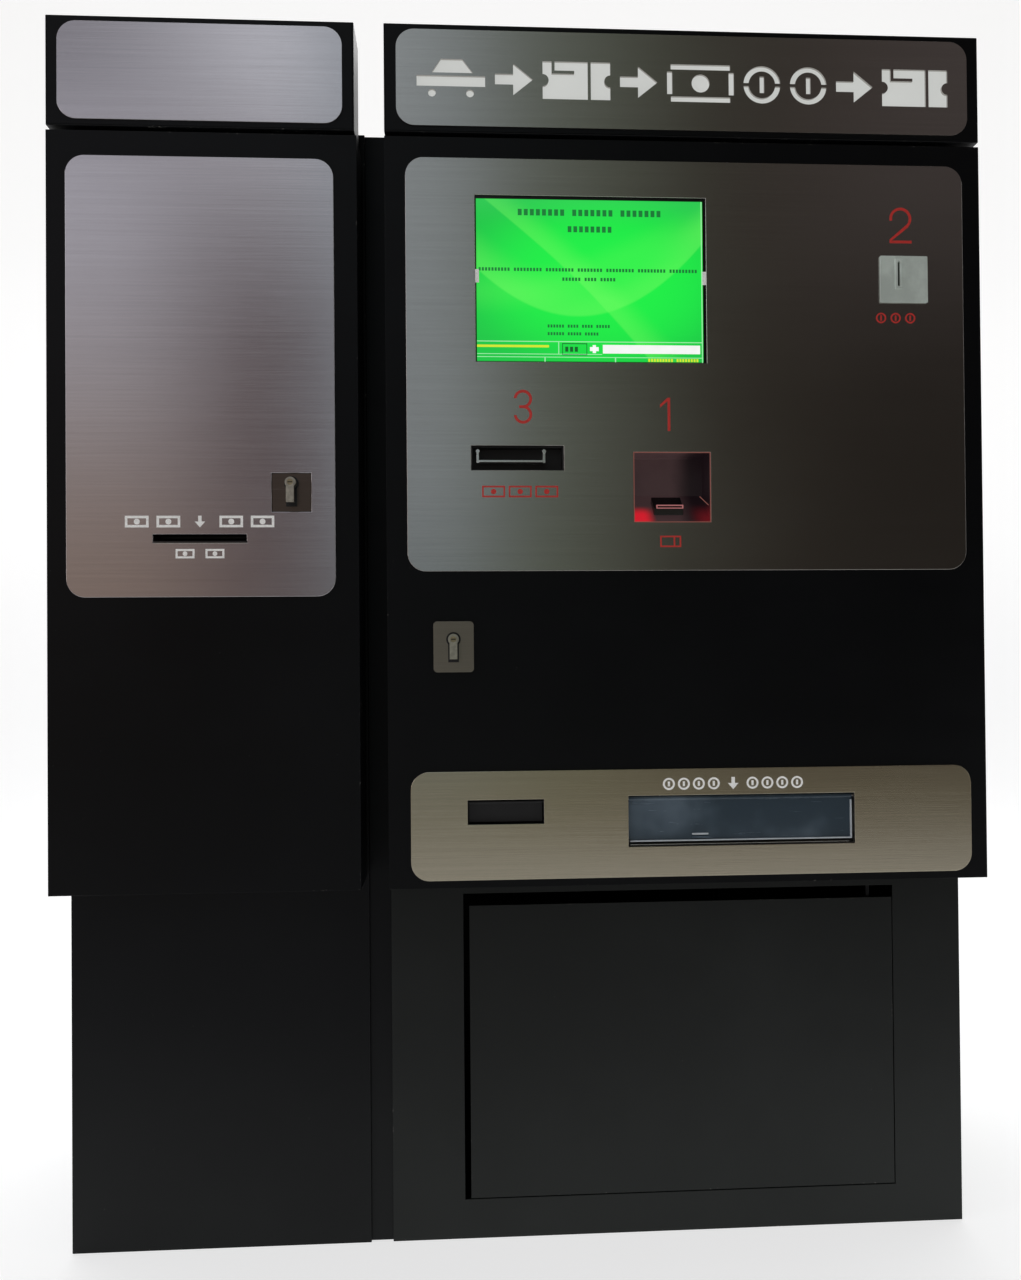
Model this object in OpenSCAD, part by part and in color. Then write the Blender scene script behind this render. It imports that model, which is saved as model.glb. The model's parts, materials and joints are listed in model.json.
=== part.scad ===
// Free-standing parking pay station: a wide pay cabinet and a narrow banknote
// change cabinet, joined by a filler strip. Front faces -Y, +X is to the right,
// +Z is up, and the origin is at the middle of the base.

/* [Cabinets] */
// Width of the pay cabinet body
pay_w = 806; // [800:1:900]
// Width of the change cabinet body
change_w = 404; // [400:1:460]
// Gap between the two bodies
cabinet_gap = 30; // [20:1:60]
// Height of the roof above the floor
roof_z = 1535; // [1530:1:1560]
// Depth of the bodies behind their front frames
body_d = 400; // [380:1:500]
// Thickness of the cabinet sheet steel
sheet_t = 2; // [1.5:0.5:3]
// Thickness of the floor plates
floor_t = 4; // [3:1:8]

/* [Doors] */
// How far the doors stand in front of the bodies
door_step = 85; // [80:1:100]
// How much narrower than its body each door is, on each side
door_inset = 3; // [2:0.5:4]
// Height of the bottom edge of the doors
door_z0 = 505; // [500:1:510]
// Height of the top edge of the doors
door_z1 = 1491; // [1490:1:1494]
// Thickness of the fascia plates
fascia_t = 2; // [1.5:0.5:3]
// Corner radius of the fascia plates
fascia_r = 24; // [15:1:30]

/* [Headers] */
// Height of the header boxes
header_h = 143; // [130:1:160]
// Depth of the header boxes
header_d = 60; // [50:1:70]
// Gap between a door and its header box
header_gap = 6; // [4:0.5:10]

/* [Openings] */
// Width of the screen opening
screen_w = 307; // [300:1:310]
// Height of the screen opening
screen_h = 220; // [215:1:225]
// Width of the coin cup opening
cup_w = 304; // [280:1:310]
// Height of the coin cup opening
cup_h = 67; // [60:1:70]
// Depth of the coin cup
cup_d = 70; // [60:1:75]
// Length of the coin slot
coin_slot_l = 33; // [30:0.5:36]
// Width of the coin slot
coin_slot_w = 3.2; // [2.6:0.1:4]

/* [Hinges and locks] */
// Radius of the door hinge pins
pin_r = 2.5; // [2:0.5:3]
// Radial running clearance on pins and spindles
run_gap = 0.05; // [0.02:0.01:0.09]
// Radius of the lock handle hubs
hub_r = 7; // [6:0.5:8]
// Length of the lock handles from their spindle
handle_l = 26; // [22:1:30]

/* [Fixings] */
// Radius of the floor anchor holes
anchor_r = 7; // [5:0.5:9]
// Radius of the cable entry in the floor
cable_r = 25; // [15:1:35]

/* [Hidden] */
$fn = 48;
eps = 0.01;

// Body positions
total_w = pay_w + cabinet_gap + change_w;
change_x0 = -total_w / 2;
change_x1 = change_x0 + change_w;
pay_x0 = change_x1 + cabinet_gap;
pay_x1 = total_w / 2;
lip_out = 13;
fascia_stand = fascia_t;
body_y1 = (body_d + door_step + fascia_stand + lip_out) / 2;
body_y0 = body_y1 - body_d;
door_y = body_y0 - door_step;
face_y = door_y - fascia_t;
lip_y = face_y - lip_out;

// Door positions
door_back = body_y0 - 3;
pay_dx = pay_x0 + door_inset;
pay_dw = pay_w - 2 * door_inset;
change_dx = change_x0 + door_inset;
change_dw = change_w - 2 * door_inset;
door_h = door_z1 - door_z0;

// Header boxes
header_z0 = door_z1 + header_gap;
header_y1 = door_y + header_d;

// Fascia plates, as left, right, bottom and top edges
main_x0 = pay_dx + 27;
main_x1 = pay_dx + 775.5;
main_z0 = door_z1 - 572;
main_z1 = door_z1 - 28;
lower_x0 = pay_dx + 29;
lower_x1 = pay_dx + 778;
lower_z0 = door_z0 + 10;
lower_z1 = lower_z0 + 142;
cfas_x0 = change_dx + 25;
cfas_x1 = change_dx + 368;
cfas_z0 = door_z1 - 604;
cfas_z1 = door_z1 - 33;

// Openings in the pay door
screen_x = pay_dx + 118;
screen_z = door_z1 - 296.5;
mouth_x = pay_dx + 111;
mouth_w = 122;
mouth_h = 32.5;
mouth_z = door_z1 - 439.5;
niche_x = pay_dx + 325.5;
niche_w = 103;
niche_h = 93;
niche_z = door_z1 - 508;
niche_d = 48;
coin_x = pay_dx + 660.5;
coin_w = 65;
coin_h = 62.5;
coin_z = door_z1 - 213.5;
slot_x = coin_x + 25;
slot_z = coin_z + 21.5;
cup_x = pay_dx + 314.5;
cup_z = door_z0 + 50;
outlet_x = pay_dx + 103;
outlet_w = 100;
outlet_z = door_z0 + 82.5;
outlet_h = 32;

// Openings in the change door
note_x = change_dx + 134.5;
note_w = 119.5;
note_h = 11;
note_z = door_z1 - 534;
clock_x = change_dx + 286;
clock_w = 51;
clock_z = door_z1 - 494;
clock_h = 50.5;

// Locks
plock_x = pay_dx + 60;
plock_w = 52.5;
plock_h = 66.5;
plock_z = door_z1 - 704;
phub_x = pay_dx + 86;
phub_z = door_z1 - 661;
chub_x = change_dx + 311.5;
chub_z = door_z1 - 457;
spindle_r = 5;
plug_r = 4;
plug_l = 10;
cam_l = 46;

// Hinges of the two doors
hinge_in = 5;
hinge_r = 4.5;
hinge_len = 70;
pay_hinge_x = pay_dx + pay_dw - hinge_in;
change_hinge_x = change_dx + hinge_in;
hinge_y = door_back - hinge_in;
hinge_zs = [door_z0 + 60, (door_z0 + door_z1) / 2 - hinge_len / 2, door_z1 - 130];

// Openings of the bodies behind the doors
pay_open_x0 = pay_x0 + 60;
pay_open_x1 = pay_x1 - 60;
change_open_x0 = change_x0 + 45;
change_open_x1 = change_x1 - 59;
body_open_z0 = door_z0 + 40;
body_open_z1 = door_z1 - 40;

// Lower access door
low_x0 = pay_dx + 96.5;
low_x1 = pay_dx + 706.5;
low_z0 = 54;
low_z1 = 477;
panel_x0 = low_x0 + 8.5;
panel_x1 = low_x1 - 1.5;
panel_z0 = low_z0 + 1.5;
panel_z1 = low_z1 - 17;
pivot_in = 32;
pivot_x = panel_x1 - pivot_in;
pivot_y = body_y0 + 6;
pivot_r = 3;
bolt_z = (panel_z0 + panel_z1) / 2;

// Inside equipment
shelf_z = 690;
hopper_y = body_y0 + 100;

// ---- Shared shapes ----

module rounded_square(w, h, r) {
    translate([r, 0]) square([w - 2 * r, h]);
    translate([0, r]) square([w, h - 2 * r]);
    for (cx = [r, w - r])
        for (cz = [r, h - r])
            translate([cx, cz]) circle(r = r);
}

// A plate whose front face is at y0, drawn in X and Z
module face_plate(x0, z0, y0, t) {
    translate([x0, y0 + t, z0]) rotate([90, 0, 0]) linear_extrude(height = t) children();
}

module block(x0, x1, y0, y1, z0, z1) {
    translate([x0, y0, z0]) cube([x1 - x0, y1 - y0, z1 - z0]);
}

module rod_y(x, y0, y1, z, r) {
    translate([x, y0, z]) rotate([-90, 0, 0]) cylinder(r = r, h = y1 - y0);
}

module rod_x(x0, x1, y, z, r) {
    translate([x0, y, z]) rotate([0, 90, 0]) cylinder(r = r, h = x1 - x0);
}

module rod_z(x, y, z0, z1, r) {
    translate([x, y, z0]) cylinder(r = r, h = z1 - z0);
}

// ---- Cabinet bodies ----

module side_panel(x) {
    block(x, x + sheet_t, body_y0 + sheet_t, body_y1 - sheet_t, floor_t, roof_z - sheet_t);
}

module back_panel(x0, x1, vent_w) {
    difference() {
        block(x0, x1, body_y1 - sheet_t, body_y1, floor_t, roof_z - sheet_t);
        for (group = [260, 1330])
            for (row = [0:5])
                translate([(x0 + x1) / 2 - vent_w / 2, body_y1 - 2 * sheet_t, group + row * 16])
                    cube([vent_w, 4 * sheet_t, 5]);
    }
}

module roof(x0, x1) {
    block(x0, x1, body_y0 + sheet_t, body_y1, roof_z - sheet_t, roof_z);
}

module floor_plate(x0, x1, inset_x) {
    difference() {
        block(x0, x1, body_y0 + sheet_t, body_y1, 0, floor_t);
        for (hx = [x0 + inset_x, x1 - inset_x])
            for (hy = [body_y0 + 60, body_y1 - 60])
                rod_z(hx, hy, -1, floor_t + 1, anchor_r);
    }
}

module pay_side_left() color("#15181a") side_panel(pay_x0);

module pay_side_right() color("#15181a") side_panel(pay_x1 - sheet_t);

module pay_back_panel() color("#15181a") back_panel(pay_x0, pay_x1, 220);

module pay_roof() color("#15181a") roof(pay_x0, pay_x1);

module pay_floor_plate() color("#15181a")
    difference() {
        floor_plate(pay_x0, pay_x1, 70);
        rod_z((pay_x0 + pay_x1) / 2, body_y1 - 90, -1, floor_t + 1, cable_r);
    }

module pay_front_frame() color("#15181a")
    difference() {
        block(pay_x0, pay_x1, body_y0, body_y0 + sheet_t, 0, roof_z);
        block(pay_open_x0, pay_open_x1, body_y0 - 1, body_y0 + 2 * sheet_t,
            body_open_z0, body_open_z1);
        block(low_x0, low_x1, body_y0 - 1, body_y0 + 2 * sheet_t, low_z0, low_z1);
    }

module pay_shelf() color("#3a3f42")
    block(pay_x0 + sheet_t, pay_x1 - sheet_t, hopper_y, body_y1 - sheet_t,
        shelf_z - sheet_t, shelf_z);

module change_side_left() color("#15181a") side_panel(change_x0);

module change_side_right() color("#15181a") side_panel(change_x1 - sheet_t);

module change_back_panel() color("#15181a") back_panel(change_x0, change_x1, 160);

module change_roof() color("#15181a") roof(change_x0, change_x1);

module change_floor_plate() color("#15181a") floor_plate(change_x0, change_x1, 60);

module change_front_frame() color("#15181a")
    difference() {
        block(change_x0, change_x1, body_y0, body_y0 + sheet_t, 0, roof_z);
        block(change_open_x0, change_open_x1, body_y0 - 1, body_y0 + 2 * sheet_t,
            body_open_z0, body_open_z1);
    }

module filler_strip() color("#0c0d0e")
    block(change_x1, pay_x0, body_y0 + 5, body_y0 + 5 + sheet_t, 0, roof_z);

// ---- Headers ----

// A sign box, open at the front, on a spine that is screwed to the body front
module header_box(x0, w) {
    z1 = header_z0 + header_h;
    difference() {
        block(x0, x0 + w, door_y, header_y1, header_z0, z1);
        block(x0 + sheet_t, x0 + w - sheet_t, door_y - 1, header_y1 - sheet_t,
            header_z0 + sheet_t, z1 - sheet_t);
    }
    block(x0 + 40, x0 + w - 40, header_y1, body_y0, header_z0 + 5, roof_z - 2);
}

// The front plate of a header, standing in the mouth of its box
module header_plate(x0, w, margin) {
    block(x0 + sheet_t, x0 + w - sheet_t, door_y, door_y + 1, header_z0 + sheet_t,
        header_z0 + header_h - sheet_t);
    face_plate(x0 + margin, header_z0 + 8, face_y, fascia_t)
        rounded_square(w - 2 * margin, header_h - 16, fascia_r);
}

// Stencil signs for the header, each in a box 50 high
module sign_arrow() {
    polygon([[0, 18], [24, 18], [24, 4], [50, 25], [24, 46], [24, 32], [0, 32]]);
}

module sign_coin() {
    difference() {
        translate([25, 25]) circle(r = 25);
        translate([25, 25]) circle(r = 18);
        translate([-1, 23]) square([52, 4]);
    }
    translate([22, 14]) square([6, 22]);
}

module sign_note() {
    translate([5, 43]) square([80, 7]);
    translate([5, 0]) square([80, 7]);
    translate([0, 10]) square([7, 30]);
    translate([83, 10]) square([7, 30]);
    translate([45, 25]) circle(r = 12);
}

module sign_ticket() {
    difference() {
        square([90, 50]);
        translate([0, 25]) circle(r = 8);
        translate([90, 25]) circle(r = 8);
        translate([60, -1]) square([4, 52]);
        translate([12, 34]) square([30, 4]);
        translate([12, 34]) square([4, 17]);
    }
}

module sign_car() {
    polygon([[20, 32], [32, 50], [60, 50], [74, 32]]);
    translate([0, 14]) square([90, 14]);
    translate([20, 5]) circle(r = 5);
    translate([70, 5]) circle(r = 5);
}

module header_signs() {
    sign_car();
    translate([103, 0]) sign_arrow();
    translate([166, 0]) sign_ticket();
    translate([269, 0]) sign_arrow();
    translate([332, 0]) sign_note();
    translate([435, 0]) sign_coin();
    translate([498, 0]) sign_coin();
    translate([561, 0]) sign_arrow();
    translate([624, 0]) sign_ticket();
}

module pay_header_box() color("#15181a") header_box(pay_dx, pay_dw);

module pay_header_fascia() color("#9a9690")
    difference() {
        header_plate(pay_dx, pay_dw, 16);
        face_plate(pay_dx + 43, header_z0 + 46, face_y - 1, fascia_t + 3) header_signs();
    }

module header_diffuser() color("white")
    block(pay_dx + 10, pay_dx + pay_dw - 10, door_y + 1, door_y + 5, header_z0 + 10,
        header_z0 + header_h - 10);

module header_lamp_board() color("#e8eee8") {
    board_y = header_y1 - sheet_t - 3;
    block(pay_dx + 20, pay_dx + pay_dw - 20, board_y, board_y + 3, header_z0 + 30,
        header_z0 + header_h - 30);
    for (row = [0:1])
        for (lamp = [0:11])
            block(pay_dx + 60 + lamp * 60, pay_dx + 72 + lamp * 60, board_y - 3, board_y,
                header_z0 + 50 + row * 32, header_z0 + 60 + row * 32);
}

module change_header_box() color("#15181a") header_box(change_dx, change_dw - 3);

module change_header_fascia() color("#b4b0b4") header_plate(change_dx, change_dw - 3, 15);

// ---- Hinges ----

// The fixed half of one door hinge: leaf, barrel and pin
module hinge_half(x, side, z) {
    block(min(x, x - side * 12), max(x, x - side * 12), body_y0 - 3, body_y0, z,
        z + hinge_len / 2);
    block(x - 2, x + 2, hinge_y, body_y0 - 2, z, z + hinge_len / 2);
    rod_z(x, hinge_y, z, z + hinge_len / 2, hinge_r);
    rod_z(x, hinge_y, z, z + hinge_len - 4, pin_r);
}

// The moving half: barrel with its bore, and a leaf on the side return
module hinge_knuckle(x, side, z) {
    z0 = z + hinge_len / 2 + 0.5;
    z1 = z + hinge_len;
    difference() {
        union() {
            rod_z(x, hinge_y, z0, z1, hinge_r);
            block(min(x, x + side * (hinge_in - sheet_t)), max(x, x + side * (hinge_in - sheet_t)),
                hinge_y - 45, hinge_y, z0, z1);
        }
        rod_z(x, hinge_y, z0 - 1, z1 - 3, pin_r + run_gap);
    }
}

module hinge_pins() color("#8a8d90") {
    for (z = hinge_zs) {
        hinge_half(pay_hinge_x, 1, z);
        hinge_half(change_hinge_x, -1, z);
    }
    block(pivot_x - 8, low_x1 + 12, body_y0 + sheet_t, body_y0 + 16, panel_z0 - 5, panel_z0 - 2);
    rod_z(pivot_x, pivot_y + 2, panel_z0 - 3, panel_z0 + 10, pivot_r);
    block(pivot_x - 8, low_x1 + 12, body_y0 + sheet_t, body_y0 + 16, low_z1 + 1, low_z1 + 4);
    rod_z(pivot_x, pivot_y + 2, panel_z1 - 10, low_z1 + 2, pivot_r);
}

// ---- Doors ----

// A tray-shaped door: front sheet and four returns
module door_tray(x0, w) {
    difference() {
        block(x0, x0 + w, door_y, door_back, door_z0, door_z1);
        block(x0 + sheet_t, x0 + w - sheet_t, door_y + sheet_t, door_back + 1,
            door_z0 + sheet_t, door_z1 - sheet_t);
    }
}

// Room in a side return for the hinge barrels
module hinge_notches(x) {
    for (z = hinge_zs)
        block(x - hinge_in - 6, x + hinge_in + 6, hinge_y - 9, door_back + 1, z - 2,
            z + hinge_len + 2);
}

module through_front(x0, w, z0, h) {
    block(x0, x0 + w, face_y - 1, door_y + sheet_t + 1, z0, z0 + h);
}

module pay_door() color("#15181a") {
    difference() {
        door_tray(pay_dx, pay_dw);
        hinge_notches(pay_hinge_x);
        through_front(screen_x, screen_w, screen_z, screen_h);
        through_front(mouth_x, mouth_w, mouth_z, mouth_h);
        through_front(niche_x, niche_w, niche_z, niche_h);
        through_front(slot_x - coin_slot_w / 2, coin_slot_w, slot_z, coin_slot_l);
        through_front(cup_x, cup_w, cup_z, cup_h);
        through_front(outlet_x, outlet_w, outlet_z, outlet_h);
        rod_y(phub_x, door_y - 1, door_y + sheet_t + 1, phub_z, spindle_r + run_gap);
    }
    for (z = hinge_zs)
        hinge_knuckle(pay_hinge_x, 1, z);
}

module change_door() color("#15181a") {
    difference() {
        door_tray(change_dx, change_dw);
        hinge_notches(change_hinge_x);
        through_front(note_x - 16, note_w + 32, note_z - 26, note_h + 52);
        rod_y(chub_x, door_y - 1, door_y + sheet_t + 1, chub_z, spindle_r + run_gap);
    }
    for (z = hinge_zs)
        hinge_knuckle(change_hinge_x, -1, z);
}

module main_fascia() color("#8d8884")
    difference() {
        face_plate(main_x0, main_z0, face_y, fascia_t)
            rounded_square(main_x1 - main_x0, main_z1 - main_z0, fascia_r);
        through_front(screen_x, screen_w, screen_z, screen_h);
        through_front(mouth_x, mouth_w, mouth_z, mouth_h);
        through_front(niche_x, niche_w, niche_z, niche_h);
        through_front(slot_x - coin_slot_w / 2, coin_slot_w, slot_z, coin_slot_l);
    }

module lower_fascia() color("#8d857b")
    difference() {
        face_plate(lower_x0, lower_z0, face_y, fascia_t)
            rounded_square(lower_x1 - lower_x0, lower_z1 - lower_z0, fascia_r);
        through_front(cup_x, cup_w, cup_z, cup_h);
        through_front(outlet_x, outlet_w, outlet_z, outlet_h);
    }

module change_fascia() color("#9f9ca0")
    difference() {
        face_plate(cfas_x0, cfas_z0, face_y, fascia_t)
            rounded_square(cfas_x1 - cfas_x0, cfas_z1 - cfas_z0, fascia_r);
        through_front(note_x, note_w, note_z, note_h);
        through_front(clock_x, clock_w, clock_z, clock_h);
    }

// ---- Screen ----

module screen_glass() color("#2fae62")
    block(screen_x, screen_x + screen_w, door_y, door_y + 3, screen_z, screen_z + screen_h);

module display_unit() color("#2b2d2f") {
    block(screen_x - 12, screen_x + screen_w + 12, door_y + 3, door_y + 40, screen_z - 12,
        screen_z + screen_h + 12);
    block(screen_x + 60, screen_x + screen_w - 60, door_y + 40, door_y + 58, screen_z + 40,
        screen_z + 130);
}

// ---- Banknote acceptor ----

module banknote_mouth() color("#0b0b0c")
    difference() {
        block(mouth_x - 4, mouth_x + mouth_w + 4, door_y + sheet_t, door_y + 32, mouth_z - 4,
            mouth_z + mouth_h + 4);
        block(mouth_x + 2, mouth_x + mouth_w - 2, door_y, door_y + 16, mouth_z + 2,
            mouth_z + mouth_h - 2);
        block(mouth_x + 12, mouth_x + 92, door_y, door_y + 33, mouth_z + 12, mouth_z + 18);
    }

module banknote_lip() color("#c9c9c6") {
    block(mouth_x + 10, mouth_x + 94, lip_y + 3, door_y + 16, mouth_z + 9, mouth_z + 11.5);
    for (x = [mouth_x + 8.5, mouth_x + 95.5]) {
        block(x - 1.5, x + 1.5, face_y - 4, door_y + 16, mouth_z + 9, mouth_z + 24);
        rod_y(x, face_y - 5.5, face_y - 4, mouth_z + 24, 2.5);
    }
}

module banknote_validator() color("#33373a")
    difference() {
        block(mouth_x + 2, mouth_x + 102, door_y + 32, door_y + 165, mouth_z - 40,
            mouth_z + 60);
        block(mouth_x + 12, mouth_x + 92, door_y + 30, door_y + 166, mouth_z + 12,
            mouth_z + 18);
    }

module banknote_cashbox() color("#4a4038") {
    difference() {
        block(mouth_x + 4, mouth_x + 100, door_y + 165.5, door_y + 270, mouth_z - 80,
            mouth_z + 58);
        block(mouth_x + 10, mouth_x + 94, door_y + 160, door_y + 262, mouth_z - 72,
            mouth_z + 30);
    }
    block(mouth_x + 30, mouth_x + 74, door_y + 270, door_y + 276, mouth_z - 20, mouth_z - 12);
}

// ---- Ticket reader ----

ledge_z = 42;

module ticket_niche() color("#131416") {
    difference() {
        block(niche_x - 3, niche_x + niche_w + 3, door_y + sheet_t, door_y + niche_d + 3,
            niche_z - 3, niche_z + niche_h + 3);
        block(niche_x, niche_x + niche_w, door_y, door_y + niche_d, niche_z,
            niche_z + niche_h);
    }
    translate([niche_x, 0, 0]) rotate([90, 0, 90])
        linear_extrude(height = niche_w)
            polygon([[door_y + sheet_t, niche_z], [door_y + niche_d, niche_z],
                [door_y + niche_d, niche_z + ledge_z], [door_y + sheet_t, niche_z + 2]]);
}

// A raised mouth standing on the slope of the niche
module ticket_slot_mouth() color("#1d1f21")
    translate([niche_x + 29, 0, 0]) rotate([90, 0, 90])
        linear_extrude(height = 40)
            polygon([[door_y + 12, niche_z + 2 + 10 * (ledge_z - 2) / (niche_d - sheet_t)],
                [door_y + 34, niche_z + 2 + 32 * (ledge_z - 2) / (niche_d - sheet_t)],
                [door_y + 30, niche_z + 38], [door_y + 10, niche_z + 20]]);

module ticket_reader() color("#2f3436")
    block(niche_x + 8, niche_x + niche_w - 8, door_y + niche_d + 3, door_y + 170,
        niche_z - 20, niche_z + 60);

// ---- Coin path ----

module coin_plate() color("#b8b9bc")
    difference() {
        union() {
            face_plate(coin_x, coin_z, face_y - 3, 3) rounded_square(coin_w, coin_h, 1.5);
            block(slot_x - 5, slot_x + 5, face_y - 4.5, face_y - 3, slot_z - 4,
                slot_z + coin_slot_l + 4);
        }
        block(slot_x - coin_slot_w / 2, slot_x + coin_slot_w / 2, face_y - 6, face_y + 1,
            slot_z, slot_z + coin_slot_l);
    }

module coin_validator() color("#3b4043")
    difference() {
        block(coin_x - 5, coin_x + 65, door_y + sheet_t, door_y + 55, coin_z - 60,
            coin_z + 72);
        block(slot_x - 2.5, slot_x + 2.5, door_y, door_y + 48, coin_z - 61,
            coin_z + 60);
    }

chute_top = coin_z - 60.5;
chute_mid = coin_z - 250;
chute_out = coin_z - 370;
chute_y0 = door_y + 187;
chute_y1 = door_y + 225;
chute_out_x = pay_dx + 560;

// A profile in Y and Z, drawn out along X
module side_profile(x0, w) {
    translate([x0, 0, 0]) rotate([90, 0, 90]) linear_extrude(height = w) children();
}

// The chute runs back from the validator and then sideways over a hopper
module chute_run(wall) {
    side_profile(slot_x - 14 + wall, 28 - 2 * wall)
        polygon([[door_y + 10 + wall, chute_top + wall], [door_y + 48 - wall, chute_top + wall],
            [chute_y1 - wall, chute_mid + 40], [chute_y1 - wall, chute_mid],
            [chute_y0 + wall, chute_mid]]);
    face_plate(0, 0, chute_y0 + wall, chute_y1 - chute_y0 - 2 * wall)
        polygon([[slot_x - 14 + wall, chute_mid], [slot_x + 14 - wall, chute_mid],
            [chute_out_x + 20 - wall, chute_out - wall], [chute_out_x - 20 + wall,
            chute_out - wall]]);
}

module coin_chute() color("#9ea2a4")
    difference() {
        chute_run(0);
        chute_run(2);
    }

module hopper(x) {
    difference() {
        block(x, x + 110, hopper_y, hopper_y + 150, shelf_z, shelf_z + 170);
        block(x + 4, x + 106, hopper_y + 4, hopper_y + 146, shelf_z + 60, shelf_z + 171);
    }
    rod_y(x + 55, hopper_y - 12, hopper_y, shelf_z + 40, 18);
}

module coin_hoppers() color("#c7b25a") {
    hopper(pay_dx + 385);
    hopper(pay_dx + 505);
}

// A sloping tray that carries paid-out coins from the hoppers to the cup
module payout_chute() color("#8f9294") {
    y0 = door_y + sheet_t + cup_d;
    y1 = hopper_y - 4;
    x0 = cup_x + 60;
    side_profile(x0, 290)
        polygon([[y0, cup_z + 44], [y1, shelf_z + 14], [y1, shelf_z + 16], [y0, cup_z + 46]]);
    for (x = [x0 - 2, x0 + 290])
        side_profile(x, 2)
            polygon([[y0, cup_z + 42], [y1, shelf_z + 12], [y1, shelf_z + 19],
                [y0, cup_z + 62]]);
}

module coin_vault() color("#585c5e")
    difference() {
        block(pay_dx + 250, pay_dx + 500, body_y0 + 60, body_y0 + 320, floor_t, 330);
        block(pay_dx + 254, pay_dx + 496, body_y0 + 64, body_y0 + 316, floor_t + 4, 326);
        block(pay_dx + 340, pay_dx + 410, body_y0 + 150, body_y0 + 220, 320, 340);
    }

// The cup behind its opening, with a rear inlet for coins above its back wall
module coin_cup() color("#8f8c88") {
    y0 = door_y + sheet_t;
    y1 = y0 + cup_d;
    x0 = cup_x - 2;
    x1 = cup_x + cup_w + 2;
    block(x0, x1, y0, y1, cup_z - 2, cup_z);
    block(x0, cup_x, y0, y1, cup_z, cup_z + cup_h);
    block(cup_x + cup_w, x1, y0, y1, cup_z, cup_z + cup_h);
    block(cup_x, cup_x + cup_w, y1 - 2, y1, cup_z, cup_z + 42);
    block(x0, x1, y0, y1, cup_z + cup_h, cup_z + cup_h + 2);
    rod_x(cup_x - 1, cup_x + 11, flap_y, flap_axis_z, flap_pin_r);
    rod_x(cup_x + cup_w - 11, cup_x + cup_w + 1, flap_y, flap_axis_z, flap_pin_r);
}

flap_y = door_y + 7;
flap_axis_z = cup_z + cup_h - 5;
flap_pin_r = 1.5;

module cup_flap() color("#9fb0b4", 0.5) {
    difference() {
        union() {
            face_plate(cup_x + 1.5, cup_z + 6, flap_y - 1.5, 3)
                rounded_square(cup_w - 3, cup_h - 11, 6);
            rod_x(cup_x + 1.5, cup_x + cup_w - 1.5, flap_y, flap_axis_z, 3);
        }
        rod_x(cup_x, cup_x + 12, flap_y, flap_axis_z, flap_pin_r + run_gap);
        rod_x(cup_x + cup_w - 12, cup_x + cup_w, flap_y, flap_axis_z, flap_pin_r + run_gap);
    }
    block(cup_x + cup_w * 0.28, cup_x + cup_w * 0.36, flap_y - 4.5, flap_y - 1.5, cup_z + 9,
        cup_z + 12);
}

// ---- Receipt printer ----

rflap_y = door_y + 7;
rflap_axis_z = outlet_z + outlet_h - 4;
rflap_pin_r = 1.2;
roll_x = outlet_x + 16;
roll_y = door_y + 110;
roll_z = outlet_z + 60;

module receipt_flap() color("#101112")
    difference() {
        union() {
            face_plate(outlet_x + 1.5, outlet_z + 2, rflap_y - 1, 2)
                square([outlet_w - 3, outlet_h - 6]);
            rod_x(outlet_x + 1.5, outlet_x + outlet_w - 1.5, rflap_y, rflap_axis_z, 2.6);
        }
        rod_x(outlet_x, outlet_x + 8, rflap_y, rflap_axis_z, rflap_pin_r + run_gap);
        rod_x(outlet_x + outlet_w - 8, outlet_x + outlet_w, rflap_y, rflap_axis_z,
            rflap_pin_r + run_gap);
    }

module receipt_printer() color("#4b5052") {
    block(outlet_x - 8, outlet_x, door_y + sheet_t, door_y + 30, outlet_z - 8,
        outlet_z + outlet_h + 8);
    block(outlet_x + outlet_w, outlet_x + outlet_w + 8, door_y + sheet_t, door_y + 30,
        outlet_z - 8, outlet_z + outlet_h + 8);
    difference() {
        block(outlet_x - 8, outlet_x + outlet_w + 8, door_y + 30, door_y + 78, outlet_z - 30,
            roll_z + 8);
        block(outlet_x + 8, outlet_x + outlet_w - 8, door_y + 20, door_y + 79, outlet_z + 8,
            outlet_z + 14);
    }
    for (x = [outlet_x + 2, outlet_x + outlet_w - 6])
        block(x, x + 4, door_y + 78, door_y + 130, roll_z - 8, roll_z + 8);
    rod_x(outlet_x + 6, outlet_x + outlet_w - 6, roll_y, roll_z, 5);
    rod_x(outlet_x - 1, outlet_x + 7, rflap_y, rflap_axis_z, rflap_pin_r);
    rod_x(outlet_x + outlet_w - 7, outlet_x + outlet_w + 1, rflap_y, rflap_axis_z, rflap_pin_r);
}

module paper_roll() color("#f1efe6")
    difference() {
        rod_x(roll_x, roll_x + outlet_w - 32, roll_y, roll_z, 30);
        rod_x(roll_x - 1, roll_x + outlet_w - 31, roll_y, roll_z, 5 + run_gap);
    }

// ---- Step guides: numerals and small signs, standing on the fascia ----

guide_t = 0.4;

module numeral_one() {
    translate([10, 0]) square([3.5, 44]);
    polygon([[10, 44], [0, 35], [0, 31], [10, 39.5]]);
}

module numeral_two() {
    translate([15, 33]) intersection() {
        difference() {
            circle(r = 15);
            circle(r = 11.5);
        }
        polygon([[-16, -3], [0, 0], [9, -16], [16, -16], [16, 16], [-16, 16]]);
    }
    polygon([[0, 0], [3, 3.5], [26, 22], [22.5, 24.5], [0, 5]]);
    square([30, 3.5]);
}

// One bowl of a three, open on the side of the middle bar
module bowl(up) {
    difference() {
        circle(r = 12);
        circle(r = 8.5);
        polygon([[0, 0], [-20, 2 * up], [-20, -20 * up], [-3, -20 * up]]);
    }
}

module numeral_three() {
    translate([14, 12]) bowl(-1);
    translate([14, 32.5]) bowl(1);
    translate([9, 20.5]) square([7, 3.5]);
}

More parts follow.
